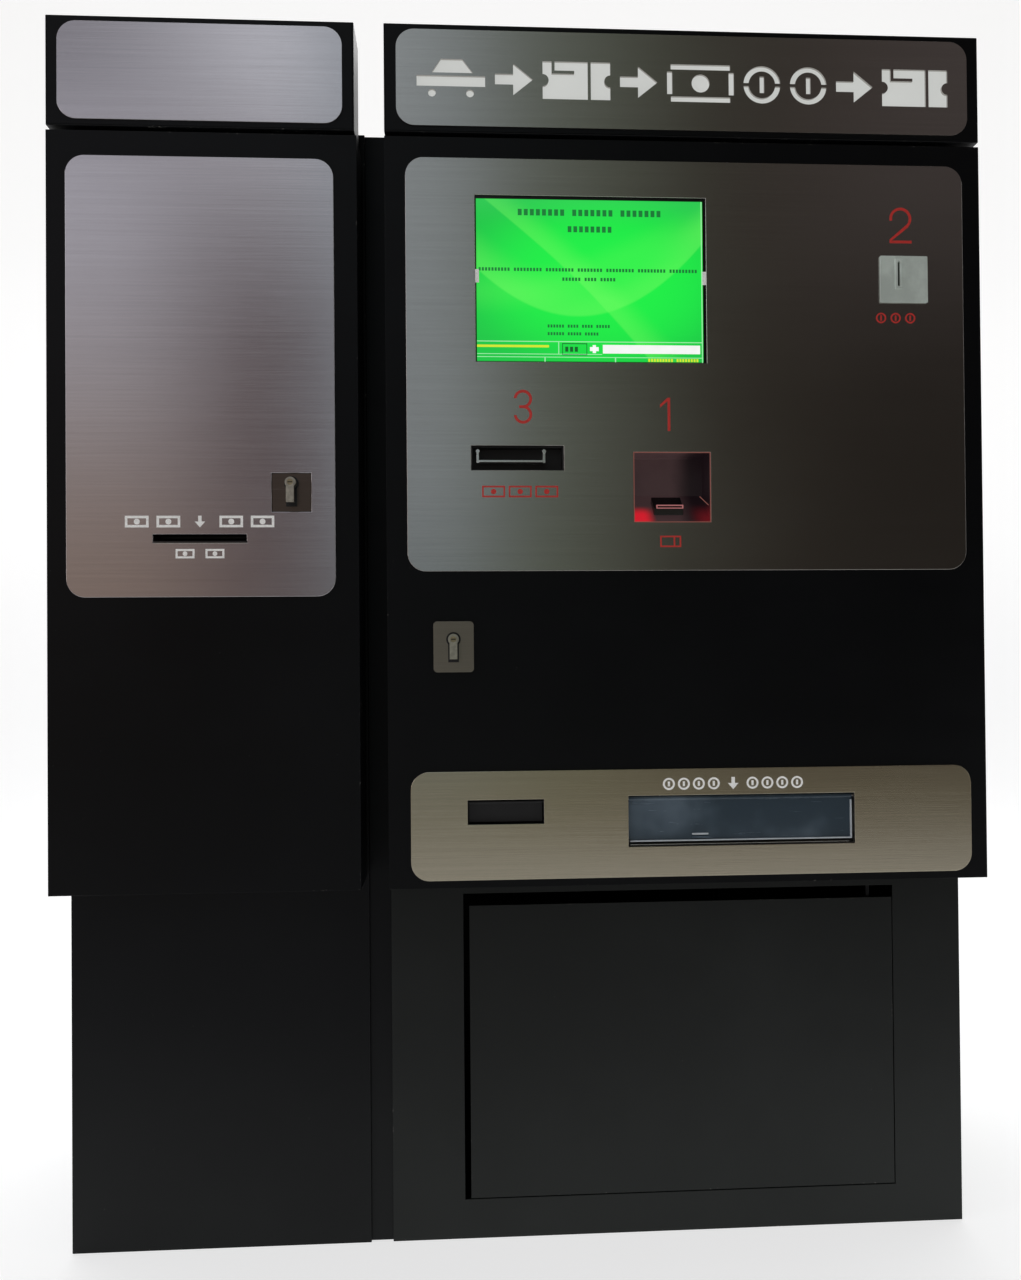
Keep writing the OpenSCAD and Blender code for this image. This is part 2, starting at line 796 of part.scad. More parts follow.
module guide(x, z) {
    face_plate(pay_dx + x, door_z1 - z, face_y - guide_t, guide_t) children();
}

module note_sign() {
    difference() {
        square([30, 15]);
        translate([2, 2]) square([26, 11]);
    }
    translate([15, 7.5]) circle(r = 3.5);
}

module coin_sign() {
    difference() {
        translate([7, 7]) circle(r = 7);
        translate([7, 7]) circle(r = 5);
    }
    translate([6, 3.5]) square([2, 7]);
}

module ticket_sign() {
    difference() {
        square([28, 15]);
        translate([2, 2]) square([16, 11]);
        translate([20, 2]) square([6, 11]);
    }
}

module guide_numerals() color("#a5252b") {
    guide(361.5, 387) numeral_one();
    guide(675, 133) numeral_two();
    guide(165.5, 378) numeral_three();
    guide(125, 475) note_sign();
    guide(160, 475) note_sign();
    guide(195, 475) note_sign();
    guide(360, 541) ticket_sign();
    guide(655, 241) coin_sign();
    guide(675, 241) coin_sign();
    guide(695, 241) coin_sign();
}

// ---- Change cabinet front ----

module note_outlet() color("#c4c2c4")
    difference() {
        union() {
            block(note_x - 6, note_x + note_w + 6, door_y, door_y + 30, note_z - 6,
                note_z + note_h + 6);
            block(note_x + 0.5, note_x + note_w - 0.5, face_y - 3, door_y, note_z + 0.2,
                note_z + 2);
        }
        block(note_x, note_x + note_w, door_y - 1, door_y + 31, note_z + 2, note_z + note_h);
    }

module note_dispenser() color("#3f4447") {
    x0 = (change_x0 + change_x1) / 2 - 120;
    difference() {
        block(x0, x0 + 240, body_y0 + 20, body_y0 + 320, 860, 1060);
        block(x0 + 10, x0 + 230, body_y0 + 19, body_y0 + 300, 870, 960);
        block(note_x, note_x + note_w, body_y0 + 19, body_y0 + 60, note_z + 2, note_z + 8);
    }
    difference() {
        block(note_x - 4, note_x + note_w + 4, door_y + 32, body_y0 + 20, note_z - 3,
            note_z + 14);
        block(note_x, note_x + note_w, door_y + 31, body_y0 + 21, note_z + 2, note_z + 9);
    }
    block(change_x0 + sheet_t, change_x1 - sheet_t, body_y0 + 40, body_y1 - sheet_t, 856, 860);
}

module note_cassette() color("#6a2f2c") {
    x0 = (change_x0 + change_x1) / 2 - 108;
    block(x0, x0 + 216, body_y0 + 15, body_y0 + 290, 871, 950);
    block(x0 + 70, x0 + 146, body_y0 + 3, body_y0 + 9, 905, 918);
    block(x0 + 70, x0 + 78, body_y0 + 9, body_y0 + 15, 905, 918);
    block(x0 + 138, x0 + 146, body_y0 + 9, body_y0 + 15, 905, 918);
}

module control_computer() color("#25282a") {
    block(pay_dx + 60, pay_dx + 320, body_y1 - 82, body_y1 - sheet_t, 1000, 1230);
    for (fin = [0:9])
        block(pay_dx + 74 + fin * 25, pay_dx + 80 + fin * 25, body_y1 - 96, body_y1 - 82,
            1010, 1220);
}

module power_supply() color("#8b8f91")
    difference() {
        block(pay_dx + 560, pay_dx + 700, body_y1 - 62, body_y1 - sheet_t, 960, 1180);
        for (row = [0:6])
            block(pay_dx + 580, pay_dx + 680, body_y1 - 63, body_y1 - 58, 985 + row * 26,
                993 + row * 26);
    }

// ---- Locks ----

// A lever handle on its spindle, hanging straight down, with a cam behind the door
module lock_handle(x, z, plate_y) {
    difference() {
        union() {
            rod_y(x, lip_y + 3, plate_y - 0.5, z, hub_r);
            block(x - 5, x + 5, lip_y, lip_y + 6, z - handle_l, z - 2);
            rod_y(x, lip_y, lip_y + 6, z - 2, 5);
            rod_y(x, plate_y - 0.5, body_y0 + 7, z, spindle_r);
        }
        rod_y(x, lip_y - 1, lip_y + 3 + plug_l, z, plug_r + run_gap);
    }
    block(x - 8, x + 8, body_y0 + 4, body_y0 + 8, z - cam_l, z + 8);
}

module key_plug(x, z) {
    difference() {
        rod_y(x, lip_y + 1, lip_y + 2.5 + plug_l, z, plug_r);
        block(x - 2.6, x + 2.6, lip_y, lip_y + 5, z - 0.6, z + 0.6);
    }
}

module pay_lock_plate() color("#8f9294")
    difference() {
        face_plate(plock_x, plock_z, face_y - 1, fascia_t + 1)
            rounded_square(plock_w, plock_h, 5);
        rod_y(phub_x, face_y - 2, door_y + 1, phub_z, spindle_r + run_gap);
    }

module change_lock_plate() color("#8f9294")
    difference() {
        face_plate(clock_x + 0.5, clock_z + 0.5, door_y - 1, 1)
            rounded_square(clock_w - 1, clock_h - 1, 2);
        rod_y(chub_x, face_y - 2, door_y + 1, chub_z, spindle_r + run_gap);
    }

module pay_lock_handle() color("#a5a7a9") lock_handle(phub_x, phub_z, face_y - 1);

module pay_key_plug() color("#b9b08c") key_plug(phub_x, phub_z);

module change_lock_handle() color("#a5a7a9") lock_handle(chub_x, chub_z, door_y - 1);

module change_key_plug() color("#b9b08c") key_plug(chub_x, chub_z);

// ---- Lower access door ----

module lower_door() color("#15181a") {
    block(panel_x0, panel_x1, body_y0, body_y0 + sheet_t, panel_z0, panel_z1);
    difference() {
        block(panel_x0 + 30, pivot_x - 30, body_y0 + sheet_t, body_y0 + 16, panel_z0 + 20,
            panel_z1 - 20);
        block(panel_x0 + 32, pivot_x - 32, body_y0 + 1, body_y0 + 17, panel_z0 + 22,
            panel_z1 - 22);
    }
    for (z = [bolt_z - 13, bolt_z + 9.5])
        block(panel_x0 + 4, panel_x0 + 24, body_y0 + sheet_t, body_y0 + 9, z, z + 3.5);
    for (z = [panel_z0 + 3, panel_z1 - 6])
        difference() {
            block(pivot_x - 8, pivot_x + 8, body_y0 + sheet_t, body_y0 + 15, z, z + 3);
            rod_z(pivot_x, pivot_y + 2, z - 1, z + 4, pivot_r + run_gap);
        }
}

module lower_door_bolt() color("#9a9da0") {
    block(panel_x0 + 3, panel_x0 + 27, body_y0 + sheet_t + 0.5, body_y0 + sheet_t + 5.5,
        bolt_z - 9, bolt_z + 9);
    block(panel_x0 + 18, panel_x0 + 24, body_y0 + sheet_t + 5.5, body_y0 + 24, bolt_z - 4,
        bolt_z + 4);
}

pay_side_left();
pay_side_right();
pay_back_panel();
pay_roof();
pay_floor_plate();
pay_front_frame();
pay_shelf();
change_side_left();
change_side_right();
change_back_panel();
change_roof();
change_floor_plate();
change_front_frame();
filler_strip();
pay_header_box();
pay_header_fascia();
header_diffuser();
header_lamp_board();
change_header_box();
change_header_fascia();
hinge_pins();
coin_hoppers();
payout_chute();
coin_vault();
control_computer();
power_supply();
note_dispenser();
note_cassette();
pay_door();
main_fascia();
lower_fascia();
screen_glass();
display_unit();
banknote_mouth();
banknote_lip();
banknote_validator();
banknote_cashbox();
ticket_niche();
ticket_slot_mouth();
ticket_reader();
coin_plate();
coin_validator();
coin_chute();
coin_cup();
cup_flap();
receipt_printer();
receipt_flap();
paper_roll();
guide_numerals();
pay_lock_plate();
pay_lock_handle();
pay_key_plug();
change_door();
change_fascia();
note_outlet();
change_lock_plate();
change_lock_handle();
change_key_plug();
lower_door();
lower_door_bolt();
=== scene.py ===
"""Dresses the packed frame of a parking pay station: steel cabinets, brushed plates, fittings."""

import json
from math import cos, pi, radians, sin

import bmesh
import bpy
from bpy.props import FloatProperty, FloatVectorProperty, IntProperty, PointerProperty
from mathutils import Matrix, Vector


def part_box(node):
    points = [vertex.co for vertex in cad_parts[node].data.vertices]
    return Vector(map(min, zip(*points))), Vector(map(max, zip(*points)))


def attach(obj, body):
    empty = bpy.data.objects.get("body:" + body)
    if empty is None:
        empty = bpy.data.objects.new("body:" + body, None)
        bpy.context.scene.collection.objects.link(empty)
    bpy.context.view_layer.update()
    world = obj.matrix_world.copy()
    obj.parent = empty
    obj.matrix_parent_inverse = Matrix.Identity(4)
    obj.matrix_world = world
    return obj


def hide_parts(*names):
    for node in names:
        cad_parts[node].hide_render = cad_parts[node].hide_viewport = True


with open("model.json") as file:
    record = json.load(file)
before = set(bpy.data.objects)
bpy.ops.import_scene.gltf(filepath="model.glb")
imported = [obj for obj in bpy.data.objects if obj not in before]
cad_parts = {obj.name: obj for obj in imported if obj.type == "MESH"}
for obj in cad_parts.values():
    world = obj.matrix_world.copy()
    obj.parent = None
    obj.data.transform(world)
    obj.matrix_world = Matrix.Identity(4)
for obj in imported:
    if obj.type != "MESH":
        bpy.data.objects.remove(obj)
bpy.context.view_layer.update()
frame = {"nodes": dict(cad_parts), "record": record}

bl_info = {
    "name": "Parking pay station",
    "version": (1, 0, 0),
    "blender": (4, 5, 0),
    "location": "View3D > Sidebar > Pay station",
    "description": "Builds the finished pieces of a parking pay station around its frame",
    "category": "Object",
}

RECORD = frame["record"]
BODY_OF = {node: body for body, nodes in RECORD["behaviour"]["bodies"].items() for node in nodes}
MM = 0.001
SHARP_CORNER = 35  # degrees past which a corner of a CAD node is rounded
SHADED_CREASE = 38  # degrees past which an edge is shaded as a crease


# ---- Settings ----


class CoatSettings(bpy.types.PropertyGroup):
    """The black powder coat"""

    tone: FloatVectorProperty(
        name="Coat colour", description="Colour of the powder coat", subtype="COLOR",
        size=4, default=(0.0030, 0.0034, 0.0042, 1.0))
    # Painted reflection: a lighter, greener copy of the coat, used on the pay cabinet's front frame
    # and lower door, stands in for the sheen of the pale floor.
    floor_sheen_tone: FloatVectorProperty(
        name="Frame colour", description="Colour of the powder coat on the fixed front frame",
        subtype="COLOR", size=4, default=(0.0150, 0.0165, 0.0158, 1.0))
    roughness: FloatProperty(
        name="Coat roughness", description="How matt the powder coat is", default=0.28,
        min=0.1, max=0.9)
    chips: FloatProperty(
        name="Edge chips", description="How many small chips show along the edges",
        default=0.5, min=0.0, max=1.0)


class SteelSettings(bpy.types.PropertyGroup):
    """The brushed stainless plates"""

    main_tone: FloatVectorProperty(
        name="Main plates", description="Colour of the pay cabinet's plates", subtype="COLOR",
        size=4, default=(0.50, 0.48, 0.46, 1.0))
    warm_tone: FloatVectorProperty(
        name="Lower strip", description="Colour of the strip round the coin cup",
        subtype="COLOR", size=4, default=(0.56, 0.51, 0.40, 1.0))
    light_tone: FloatVectorProperty(
        name="Change plates", description="Colour of the change cabinet's plates",
        subtype="COLOR", size=4, default=(0.56, 0.54, 0.56, 1.0))
    roughness: FloatProperty(
        name="Plate roughness", description="How soft reflections in the plates are",
        default=0.13, min=0.1, max=0.8)
    brushing: FloatProperty(
        name="Brushing", description="Depth of the brushed grain", default=1.0, min=0.0,
        max=3.0)


class EdgeSettings(bpy.types.PropertyGroup):
    """Rounding of edges"""

    fold: FloatProperty(
        name="Folded edge", description="Outer radius of folded sheet steel", unit="LENGTH",
        default=1.1 * MM, min=0.5 * MM, max=4 * MM)
    cut: FloatProperty(
        name="Cut edge", description="Rounding of the edges of cut sheet", unit="LENGTH",
        default=0.4 * MM, min=0.1 * MM, max=1 * MM)
    fascia: FloatProperty(
        name="Fascia edge", description="Rounding of the edges of the brushed plates",
        unit="LENGTH", default=0.6 * MM, min=0.1 * MM, max=1 * MM)
    thin: FloatProperty(
        name="Thin edge", description="Rounding of the edges of thin and small parts",
        unit="LENGTH", default=0.3 * MM, min=0.1 * MM, max=1 * MM)
    moulded: FloatProperty(
        name="Moulded edge", description="Rounding of plastic housings", unit="LENGTH",
        default=1.6 * MM, min=0.5 * MM, max=4 * MM)
    segments: IntProperty(
        name="Edge segments", description="Facets across a rounded edge", default=3, min=1,
        max=6)


class GlowSettings(bpy.types.PropertyGroup):
    """Lit pieces"""

    screen: FloatProperty(
        name="Screen glow", description="Brightness of the display", default=1.0, min=0.0,
        max=5.0)
    header: FloatProperty(
        name="Header glow", description="Brightness behind the header's cut-outs", default=0.54,
        min=0.0, max=5.0)
    # The same number scales the red lamplight painted on the ticket niche, its rim and the slot's
    # lip.
    reader: FloatProperty(
        name="Reader glow", description="Brightness of the red lamp in the ticket niche",
        default=1.0, min=0.0, max=10.0)


class StageSettings(bpy.types.PropertyGroup):
    """Camera and light"""

    eye: FloatVectorProperty(
        name="Camera place", description="Where the camera stands", subtype="TRANSLATION",
        unit="LENGTH", size=3, default=(-0.092, -1.546, 0.8155))
    turn: FloatVectorProperty(
        name="Camera turn", description="How the camera is turned", subtype="EULER",
        unit="ROTATION", size=3, default=(radians(90.571), radians(0.455), radians(-3.041)))
    lens: FloatProperty(
        name="Focal length", description="Focal length of the camera's lens, in millimetres",
        default=28.125, min=10.0, max=100.0)
    top_light: FloatProperty(
        name="Top light", description="Power of the light over the stage", unit="POWER",
        default=60.0, min=0.0)
    side_light: FloatProperty(
        name="Side light", description="Power of the soft light at the left", unit="POWER",
        default=16.0, min=0.0)
    floor_glow: FloatProperty(
        name="Floor glow", description="Own light of the pale floor and backdrop",
        default=0.66, min=0.0, max=1.0)


SETTINGS = {
    "station_coat": CoatSettings,
    "station_steel": SteelSettings,
    "station_edges": EdgeSettings,
    "station_glow": GlowSettings,
    "station_stage": StageSettings,
}


# ---- Shader wiring ----


class Wire:
    """A socket in a shader tree. Arithmetic on it adds the Math nodes."""

    def __init__(self, finish, socket):
        self.finish = finish
        self.socket = socket

    def __add__(self, other):
        return self.finish.calc("ADD", self, other)

    def __sub__(self, other):
        return self.finish.calc("SUBTRACT", self, other)

    def __mul__(self, other):
        return self.finish.calc("MULTIPLY", self, other)

    def __truediv__(self, other):
        return self.finish.calc("DIVIDE", self, other)

    def __rsub__(self, other):
        return self.finish.calc("SUBTRACT", other, self)

    def __rtruediv__(self, other):
        return self.finish.calc("DIVIDE", other, self)

    __radd__ = __add__
    __rmul__ = __mul__

    def above(self, low, high):
        """0 below low, 1 above high, and smooth between them."""
        return self.finish.add(
            "ShaderNodeMapRange", {"interpolation_type": "SMOOTHSTEP"},
            {"Value": self, "From Min": low, "From Max": high})

    def size(self):
        return self.finish.calc("ABSOLUTE", self)

    def least(self, other):
        return self.finish.calc("MINIMUM", self, other)

    def most(self, other):
        return self.finish.calc("MAXIMUM", self, other)


class Finish:
    """A node tree being wired, for a material or for the world."""

    def __init__(self, name, owner=None):
        self.owner = owner or bpy.data.materials.new(name)
        self.owner.use_nodes = True
        self.tree = self.owner.node_tree
        self.tree.nodes.clear()

    def add(self, kind, settings=None, values=None, output=0):
        node = self.tree.nodes.new(kind)
        for key, value in (settings or {}).items():
            setattr(node, key, value)
        for key, value in (values or {}).items():
            if isinstance(value, Wire):
                self.tree.links.new(value.socket, node.inputs[key])
            else:
                node.inputs[key].default_value = value
        return Wire(self, node.outputs[output]) if node.outputs else None

    def calc(self, operation, *terms):
        return self.add("ShaderNodeMath", {"operation": operation}, dict(enumerate(terms)))

    def place(self):
        return self.add("ShaderNodeTexCoord", output="Object")

    def stretch(self, vector, scale):
        return self.add("ShaderNodeVectorMath", {"operation": "MULTIPLY"}, {0: vector, 1: scale})

    def axes(self, vector):
        parts = self.add("ShaderNodeSeparateXYZ", values={0: vector})
        sockets = parts.socket.node.outputs
        return [Wire(self, sockets[axis]) for axis in "XYZ"]

    def noise(self, vector, scale, detail, roughness=0.5, twist=0.0):
        return self.add(
            "ShaderNodeTexNoise", None,
            {"Vector": vector, "Scale": scale, "Detail": detail, "Roughness": roughness,
             "Distortion": twist})

    def blend(self, mask, low, high):
        """A colour between low and high."""
        low, high = (end if isinstance(end, Wire) else (*end[:3], 1.0) for end in (low, high))
        return self.add(
            "ShaderNodeMix", {"data_type": "RGBA"}, {"Factor": mask, 6: low, 7: high}, output=2)

    def bump(self, height, strength, distance, under=None):
        values = {"Height": height, "Strength": strength, "Distance": distance}
        if under:
            values["Normal"] = under
        return self.add("ShaderNodeBump", None, values)

    def surface(self, **values):
        """Ends the tree in a Principled shader and returns the material."""
        named = {key.replace("_", " "): value for key, value in values.items()}
        shader = self.add("ShaderNodeBsdfPrincipled", None, named)
        self.add("ShaderNodeOutputMaterial", None, {"Surface": shader})
        return self.owner


# ---- Finishes ----


def grey(value):
    return (value, value, value, 1.0)


def shade(tone, factor, lift=0.0):
    """The same colour, darker or lighter."""
    return tuple(min(channel * factor + lift, 1.0) for channel in tone[:3]) + (1.0,)


def black_coat(name="black_coat", plate=None, tone=None):
    """Semi-gloss powder coat. plate is the (low, high) box whose front edges are chipped."""
    coat = bpy.context.scene.station_coat
    finish = Finish(name)
    place = finish.place()
    x, y, z = finish.axes(place)
    cloud = finish.noise(place, 2.6, 4.0, 0.6)
    grain = finish.noise(place, 620.0, 2.0, 0.6)
    speck = finish.noise(place, 95.0, 3.0, 0.7).above(0.735, 0.77)
    wiped = finish.noise(finish.stretch(place, (1.2, 1.2, 9.0)), 3.0, 5.0, 0.65, 0.6)
    # Painted reflection: towards the bottom the coat turns lighter and greener, patchy with the
    # cloud noise, standing in for the sheen of the pale floor.
    painted_floor_sheen = 1.0 - z.above(0.0, 0.35)
    tone = tuple(coat.tone if tone is None else tone)
    colour = finish.blend(cloud.above(0.35, 0.75), tone, shade(tone, 1.35, 0.001))
    colour = finish.blend(painted_floor_sheen * cloud * 0.5, colour, (0.020, 0.024, 0.022, 1.0))
    colour = finish.blend(speck * 0.30, colour, (0.07, 0.075, 0.07, 1.0))
    if plate:
        low, high = plate
        edge = (x - low[0]).size().least((x - high[0]).size())
        edge = edge.least((z - low[2]).size()).least((z - high[2]).size())
        torn = finish.noise(place, 230.0, 3.0, 0.7).above(0.60, 0.66)
        rare = finish.noise(place, 11.0, 2.0, 0.5).above(0.52, 0.62)
        near = 1.0 - edge.above(0.4 * MM, 2.2 * MM)
        colour = finish.blend(near * torn * rare * coat.chips, colour, (0.30, 0.29, 0.27, 1.0))
    shine = coat.roughness + wiped * 0.12 + speck * 0.2
    normal = finish.bump(grain, 0.08, 0.2 * MM)
    return finish.surface(
        Base_Color=colour, Roughness=shine, Normal=normal, Specular_IOR_Level=0.15)


def brushed_steel(name, tone, roughness=None, grain=1.0, marks=1.0):
    """Stainless steel brushed from side to side."""
    steel = bpy.context.scene.station_steel
    finish = Finish(name)
    place = finish.place()
    hair = finish.noise(finish.stretch(place, (5.0, 5.0, 1500.0)), 1.0, 3.0, 0.6)
    streak = finish.noise(finish.stretch(place, (2.2, 2.2, 260.0)), 1.0, 4.0, 0.65)
    cloud = finish.noise(place, 3.2, 3.0, 0.55)
    scratch = finish.noise(finish.stretch(place, (16.0, 16.0, 2200.0)), 1.0, 1.0, 0.4)
    deep = scratch.above(0.70, 0.78) * finish.noise(place, 9.0, 2.0).above(0.5, 0.62)
    colour = finish.blend(
        (streak * 0.35 + hair * 0.65).above(0.25, 0.75), shade(tone, 0.92), shade(tone, 1.07))
    colour = finish.blend(deep * 0.3 * marks, colour, grey(0.7))
    base = steel.roughness if roughness is None else roughness
    shine = base + cloud.above(0.35, 0.7) * 0.03 * marks + hair * 0.05
    normal = finish.bump(streak, 0.03 * grain * steel.brushing, 0.5 * MM)
    normal = finish.bump(hair, 0.28 * grain * steel.brushing, 0.12 * MM, normal)
    return finish.surface(Base_Color=colour, Metallic=1.0, Roughness=shine, Normal=normal)


def zinc_sheet(name):
    """Galvanised sheet with its faint crystal pattern."""
    tone = (0.46, 0.48, 0.48, 1.0)
    finish = Finish(name)
    place = finish.place()
    cells = finish.add(
        "ShaderNodeTexVoronoi", {"feature": "F1"}, {"Vector": place, "Scale": 130.0},
        output="Color")
    crystal = finish.axes(cells)[0]
    cloud = finish.noise(place, 7.0, 4.0, 0.6)
    colour = finish.blend(crystal * 0.5 + cloud * 0.5, shade(tone, 0.75), tone)
    return finish.surface(
        Base_Color=colour, Metallic=0.9, Roughness=0.34 + crystal * 0.16 + cloud * 0.1)


def moulded_plastic(name, tone, roughness, texture=1.0):
    """Fine-textured injection moulding."""
    finish = Finish(name)
    place = finish.place()
    grain = finish.noise(place, 900.0, 2.0, 0.6)
    dust = finish.noise(place, 18.0, 4.0, 0.65)
    colour = finish.blend(dust.above(0.4, 0.75), tone, shade(tone, 1.3, 0.004))
    return finish.surface(
        Base_Color=colour, Roughness=roughness + dust * 0.1,
        Normal=finish.bump(grain, 0.12 * texture, 0.2 * MM))


def cast_metal(name, tone, roughness):
    """Satin metal of handles, plugs and pins."""
    finish = Finish(name)
    place = finish.place()
    cloud = finish.noise(place, 160.0, 3.0, 0.6)
    rub = finish.noise(finish.stretch(place, (120.0, 120.0, 700.0)), 1.0, 2.0)
    return finish.surface(
        Base_Color=finish.blend(cloud.above(0.3, 0.7), shade(tone, 0.72), tone), Metallic=1.0,
        Roughness=roughness + rub * 0.12, Normal=finish.bump(rub, 0.06, 0.1 * MM))


def glowing(name, tone, glow, dimming=0.0):
    """Lit acrylic, a little uneven."""
    finish = Finish(name)
    patch = finish.noise(finish.place(), 9.0, 2.0, 0.5)
    colour = finish.blend(patch.above(0.3, 0.7), shade(tone, 1.0 - dimming), tone)
    return finish.surface(
        Base_Color=shade(tone, 0.3), Roughness=0.25, Emission_Color=colour,
        Emission_Strength=glow)


def lit_mark(name, tone, glow):
    """A flat mark on the display."""
    finish = Finish(name)
    patch = finish.noise(finish.place(), 60.0, 2.0, 0.5)
    return finish.surface(
        Base_Color=grey(0.01), Roughness=0.3,
        Emission_Color=finish.blend(patch, shade(tone, 0.85), tone), Emission_Strength=glow)


def screen_picture(name, low, high):
    """The display's picture: bright ribbons on green inside a black mask."""
    finish = Finish(name)
    place = finish.place()
    x, y, z = finish.axes(place)
    u = (x - low[0]) / (high[0] - low[0])
    v = (z - low[2]) / (high[2] - low[2])
    valley = v - (u - 0.44) * (u - 0.44) * 1.5 - 0.27
    fall = u * 1.35 + v - 1.02 - finish.calc("SINE", v * 3.1) * 0.06
    rise = v - u * 0.30 - 0.47 + finish.calc("SINE", u * 3.6 + 0.5) * 0.10
    ribbon = valley.above(0.0, 0.02) * (1.0 - valley.above(0.02, 0.30)) * 0.62
    ribbon = ribbon + fall.above(0.0, 0.02) * (1.0 - fall.above(0.02, 0.26)) * 0.55
    ribbon = ribbon + (1.0 - rise.size().above(0.0, 0.16)) * 0.25
    middle = (u - 0.55) * (u - 0.55) * 1.2 + (v - 0.5) * (v - 0.5) * 1.4
    colour = finish.blend(middle.above(0.0, 0.55), (0.012, 0.86, 0.062, 1.0),
                          (0.010, 0.56, 0.060, 1.0))
    colour = finish.blend(ribbon.least(1.0) * 0.55, colour, (0.17, 1.0, 0.13, 1.0))
    haze = (v - 0.80).above(0.0, 0.3) * 0.25
    colour = finish.blend(haze, colour, (0.10, 0.62, 0.20, 1.0))
    inside = u.above(0.004, 0.007) * (1.0 - u.above(0.985, 0.988))
    inside = inside * v.above(0.004, 0.008) * (1.0 - v.above(0.978, 0.984))
    colour = finish.blend(inside, grey(0.0), colour)
    return finish.surface(
        Base_Color=grey(0.006), Roughness=0.24, Specular_IOR_Level=0.35,
        Emission_Color=colour, Emission_Strength=bpy.context.scene.station_glow.screen)


def smoked_sheet(name):
    """Smoky clear polycarbonate with scuffs."""
    finish = Finish(name)
    place = finish.place()
    scuff = finish.noise(finish.stretch(place, (3.0, 3.0, 40.0)), 6.0, 5.0, 0.7)
    haze = finish.noise(place, 11.0, 3.0, 0.5).above(0.40, 0.72)
    colour = finish.blend(haze, (0.060, 0.098, 0.135, 1.0), (0.19, 0.26, 0.33, 1.0))
    return finish.surface(
        Base_Color=colour, Roughness=0.12 + scuff.above(0.45, 0.8) * 0.25,
        Transmission_Weight=0.35, IOR=1.45)


def niche_plastic(name, low, high):
    """Dark plastic with the red light of the reader's lamp painted on as glow, strongest in its
    lower left corner.
    """
    finish = Finish(name)
    place = finish.place()
    x, y, z = finish.axes(place)
    across = (x - low[0]) / (high[0] - low[0])
    up = (z - low[2]) / (high[2] - low[2])
    patch = finish.noise(place, 40.0, 3.0, 0.6)
    # Painted light: the red lamp's pool at the lower left, its spill at the lower right and a dim
    # red glow over the left of the walls, all given as emission.
    lamp = (1.0 - across.above(0.16, 0.33)) * (1.0 - up.above(0.14, 0.30))
    spill = across.above(0.70, 0.95) * (1.0 - up.above(0.06, 0.34)) * 0.16
    wall = (1.0 - across.above(0.55, 0.85)) * (0.6 + patch * 0.8)
    glow = finish.blend(wall.least(1.0), (0.004, 0.002, 0.003, 1.0), (0.034, 0.019, 0.020, 1.0))
    glow = finish.blend((lamp + spill).least(1.0), glow, (0.60, 0.010, 0.022, 1.0))
    inside = (x - low[0]).above(1.4 * MM, 1.6 * MM) * (high[0] - x).above(1.4 * MM, 1.6 * MM)
    inside = inside * (z - low[2]).above(1.4 * MM, 1.6 * MM)
    inside = inside * (high[1] - y).above(1.4 * MM, 1.6 * MM)
    glow = finish.blend(inside, grey(0.0), glow)
    return finish.surface(
        Base_Color=(0.02, 0.012, 0.013, 1.0), Roughness=0.28 + patch * 0.15,
        Emission_Color=glow, Emission_Strength=bpy.context.scene.station_glow.reader)


def printed_film(name, tone, glow):
    """Thin screen-printed ink or film. glow is painted light: the print gives off that much light
    of its own, though it is no lamp.
    """
    finish = Finish(name)
    worn = finish.noise(finish.place(), 240.0, 3.0, 0.7).above(0.35, 0.75)
    colour = finish.blend(worn, tone, shade(tone, 0.8))
    return finish.surface(
        Base_Color=colour, Roughness=0.42, Emission_Color=colour, Emission_Strength=glow)


def rubber(name):
    """Dull black rubber with a pale bloom."""
    finish = Finish(name)
    bloom = finish.noise(finish.place(), 30.0, 4.0, 0.6)
    return finish.surface(
        Base_Color=finish.blend(bloom, grey(0.012), grey(0.03)), Roughness=0.75)


FINISHES = {}


# ---- Shapes ----


def span(node):
    low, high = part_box(node)
    return Vector(low), Vector(high)


def edges_at(verts):
    """The edges at verts, each once and always in the same order."""
    return list(dict.fromkeys(edge for vert in verts for edge in vert.link_edges))


def round_edges(bm, edges, width, segments=2):
    """Bevels a list of edges round, by width."""
    bmesh.ops.bevel(
        bm, geom=edges, offset=width, offset_type="OFFSET", segments=segments,
        profile=0.5, affect="EDGES", clamp_overlap=True, material=-1)


def slab(bm, low, high, edge=0.0, segments=2):
    """A box from its low to its high corner, with rounded edges."""
    low, high = Vector(low), Vector(high)
    place = Matrix.Translation((low + high) / 2) @ Matrix.Diagonal((*(high - low), 1.0))
    cube = bmesh.ops.create_cube(bm, size=1.0, matrix=place)
    if edge:
        round_edges(bm, edges_at(cube["verts"]), edge, segments)


def rim(bm, left, right, down, up, width, front, back):
    """Four bars just inside an upright rectangle, from front to back."""
    for start, end, low, high in (
            (left, right, up - width, up), (left, right, down, down + width),
            (left, left + width, down, up), (right - width, right, down, up)):
        slab(bm, (start, front, low), (end, back, high), 0.2 * MM)


def rod(bm, start, end, radius, sides, edge=0.0, tip=None):
    """A round bar from start to end. tip is the radius at the far end."""
    start, end = Vector(start), Vector(end)
    along = end - start
    turn = Vector((0, 0, 1)).rotation_difference(along.normalized()).to_matrix().to_4x4()
    made = bmesh.ops.create_cone(
        bm, cap_ends=True, segments=sides, radius1=radius,
        radius2=radius if tip is None else tip, depth=along.length,
        matrix=Matrix.Translation((start + end) / 2) @ turn)
    if edge:
        rims = [e for e in edges_at(made["verts"])
                if any(len(face.verts) > 4 for face in e.link_faces)]
        round_edges(bm, rims, edge)


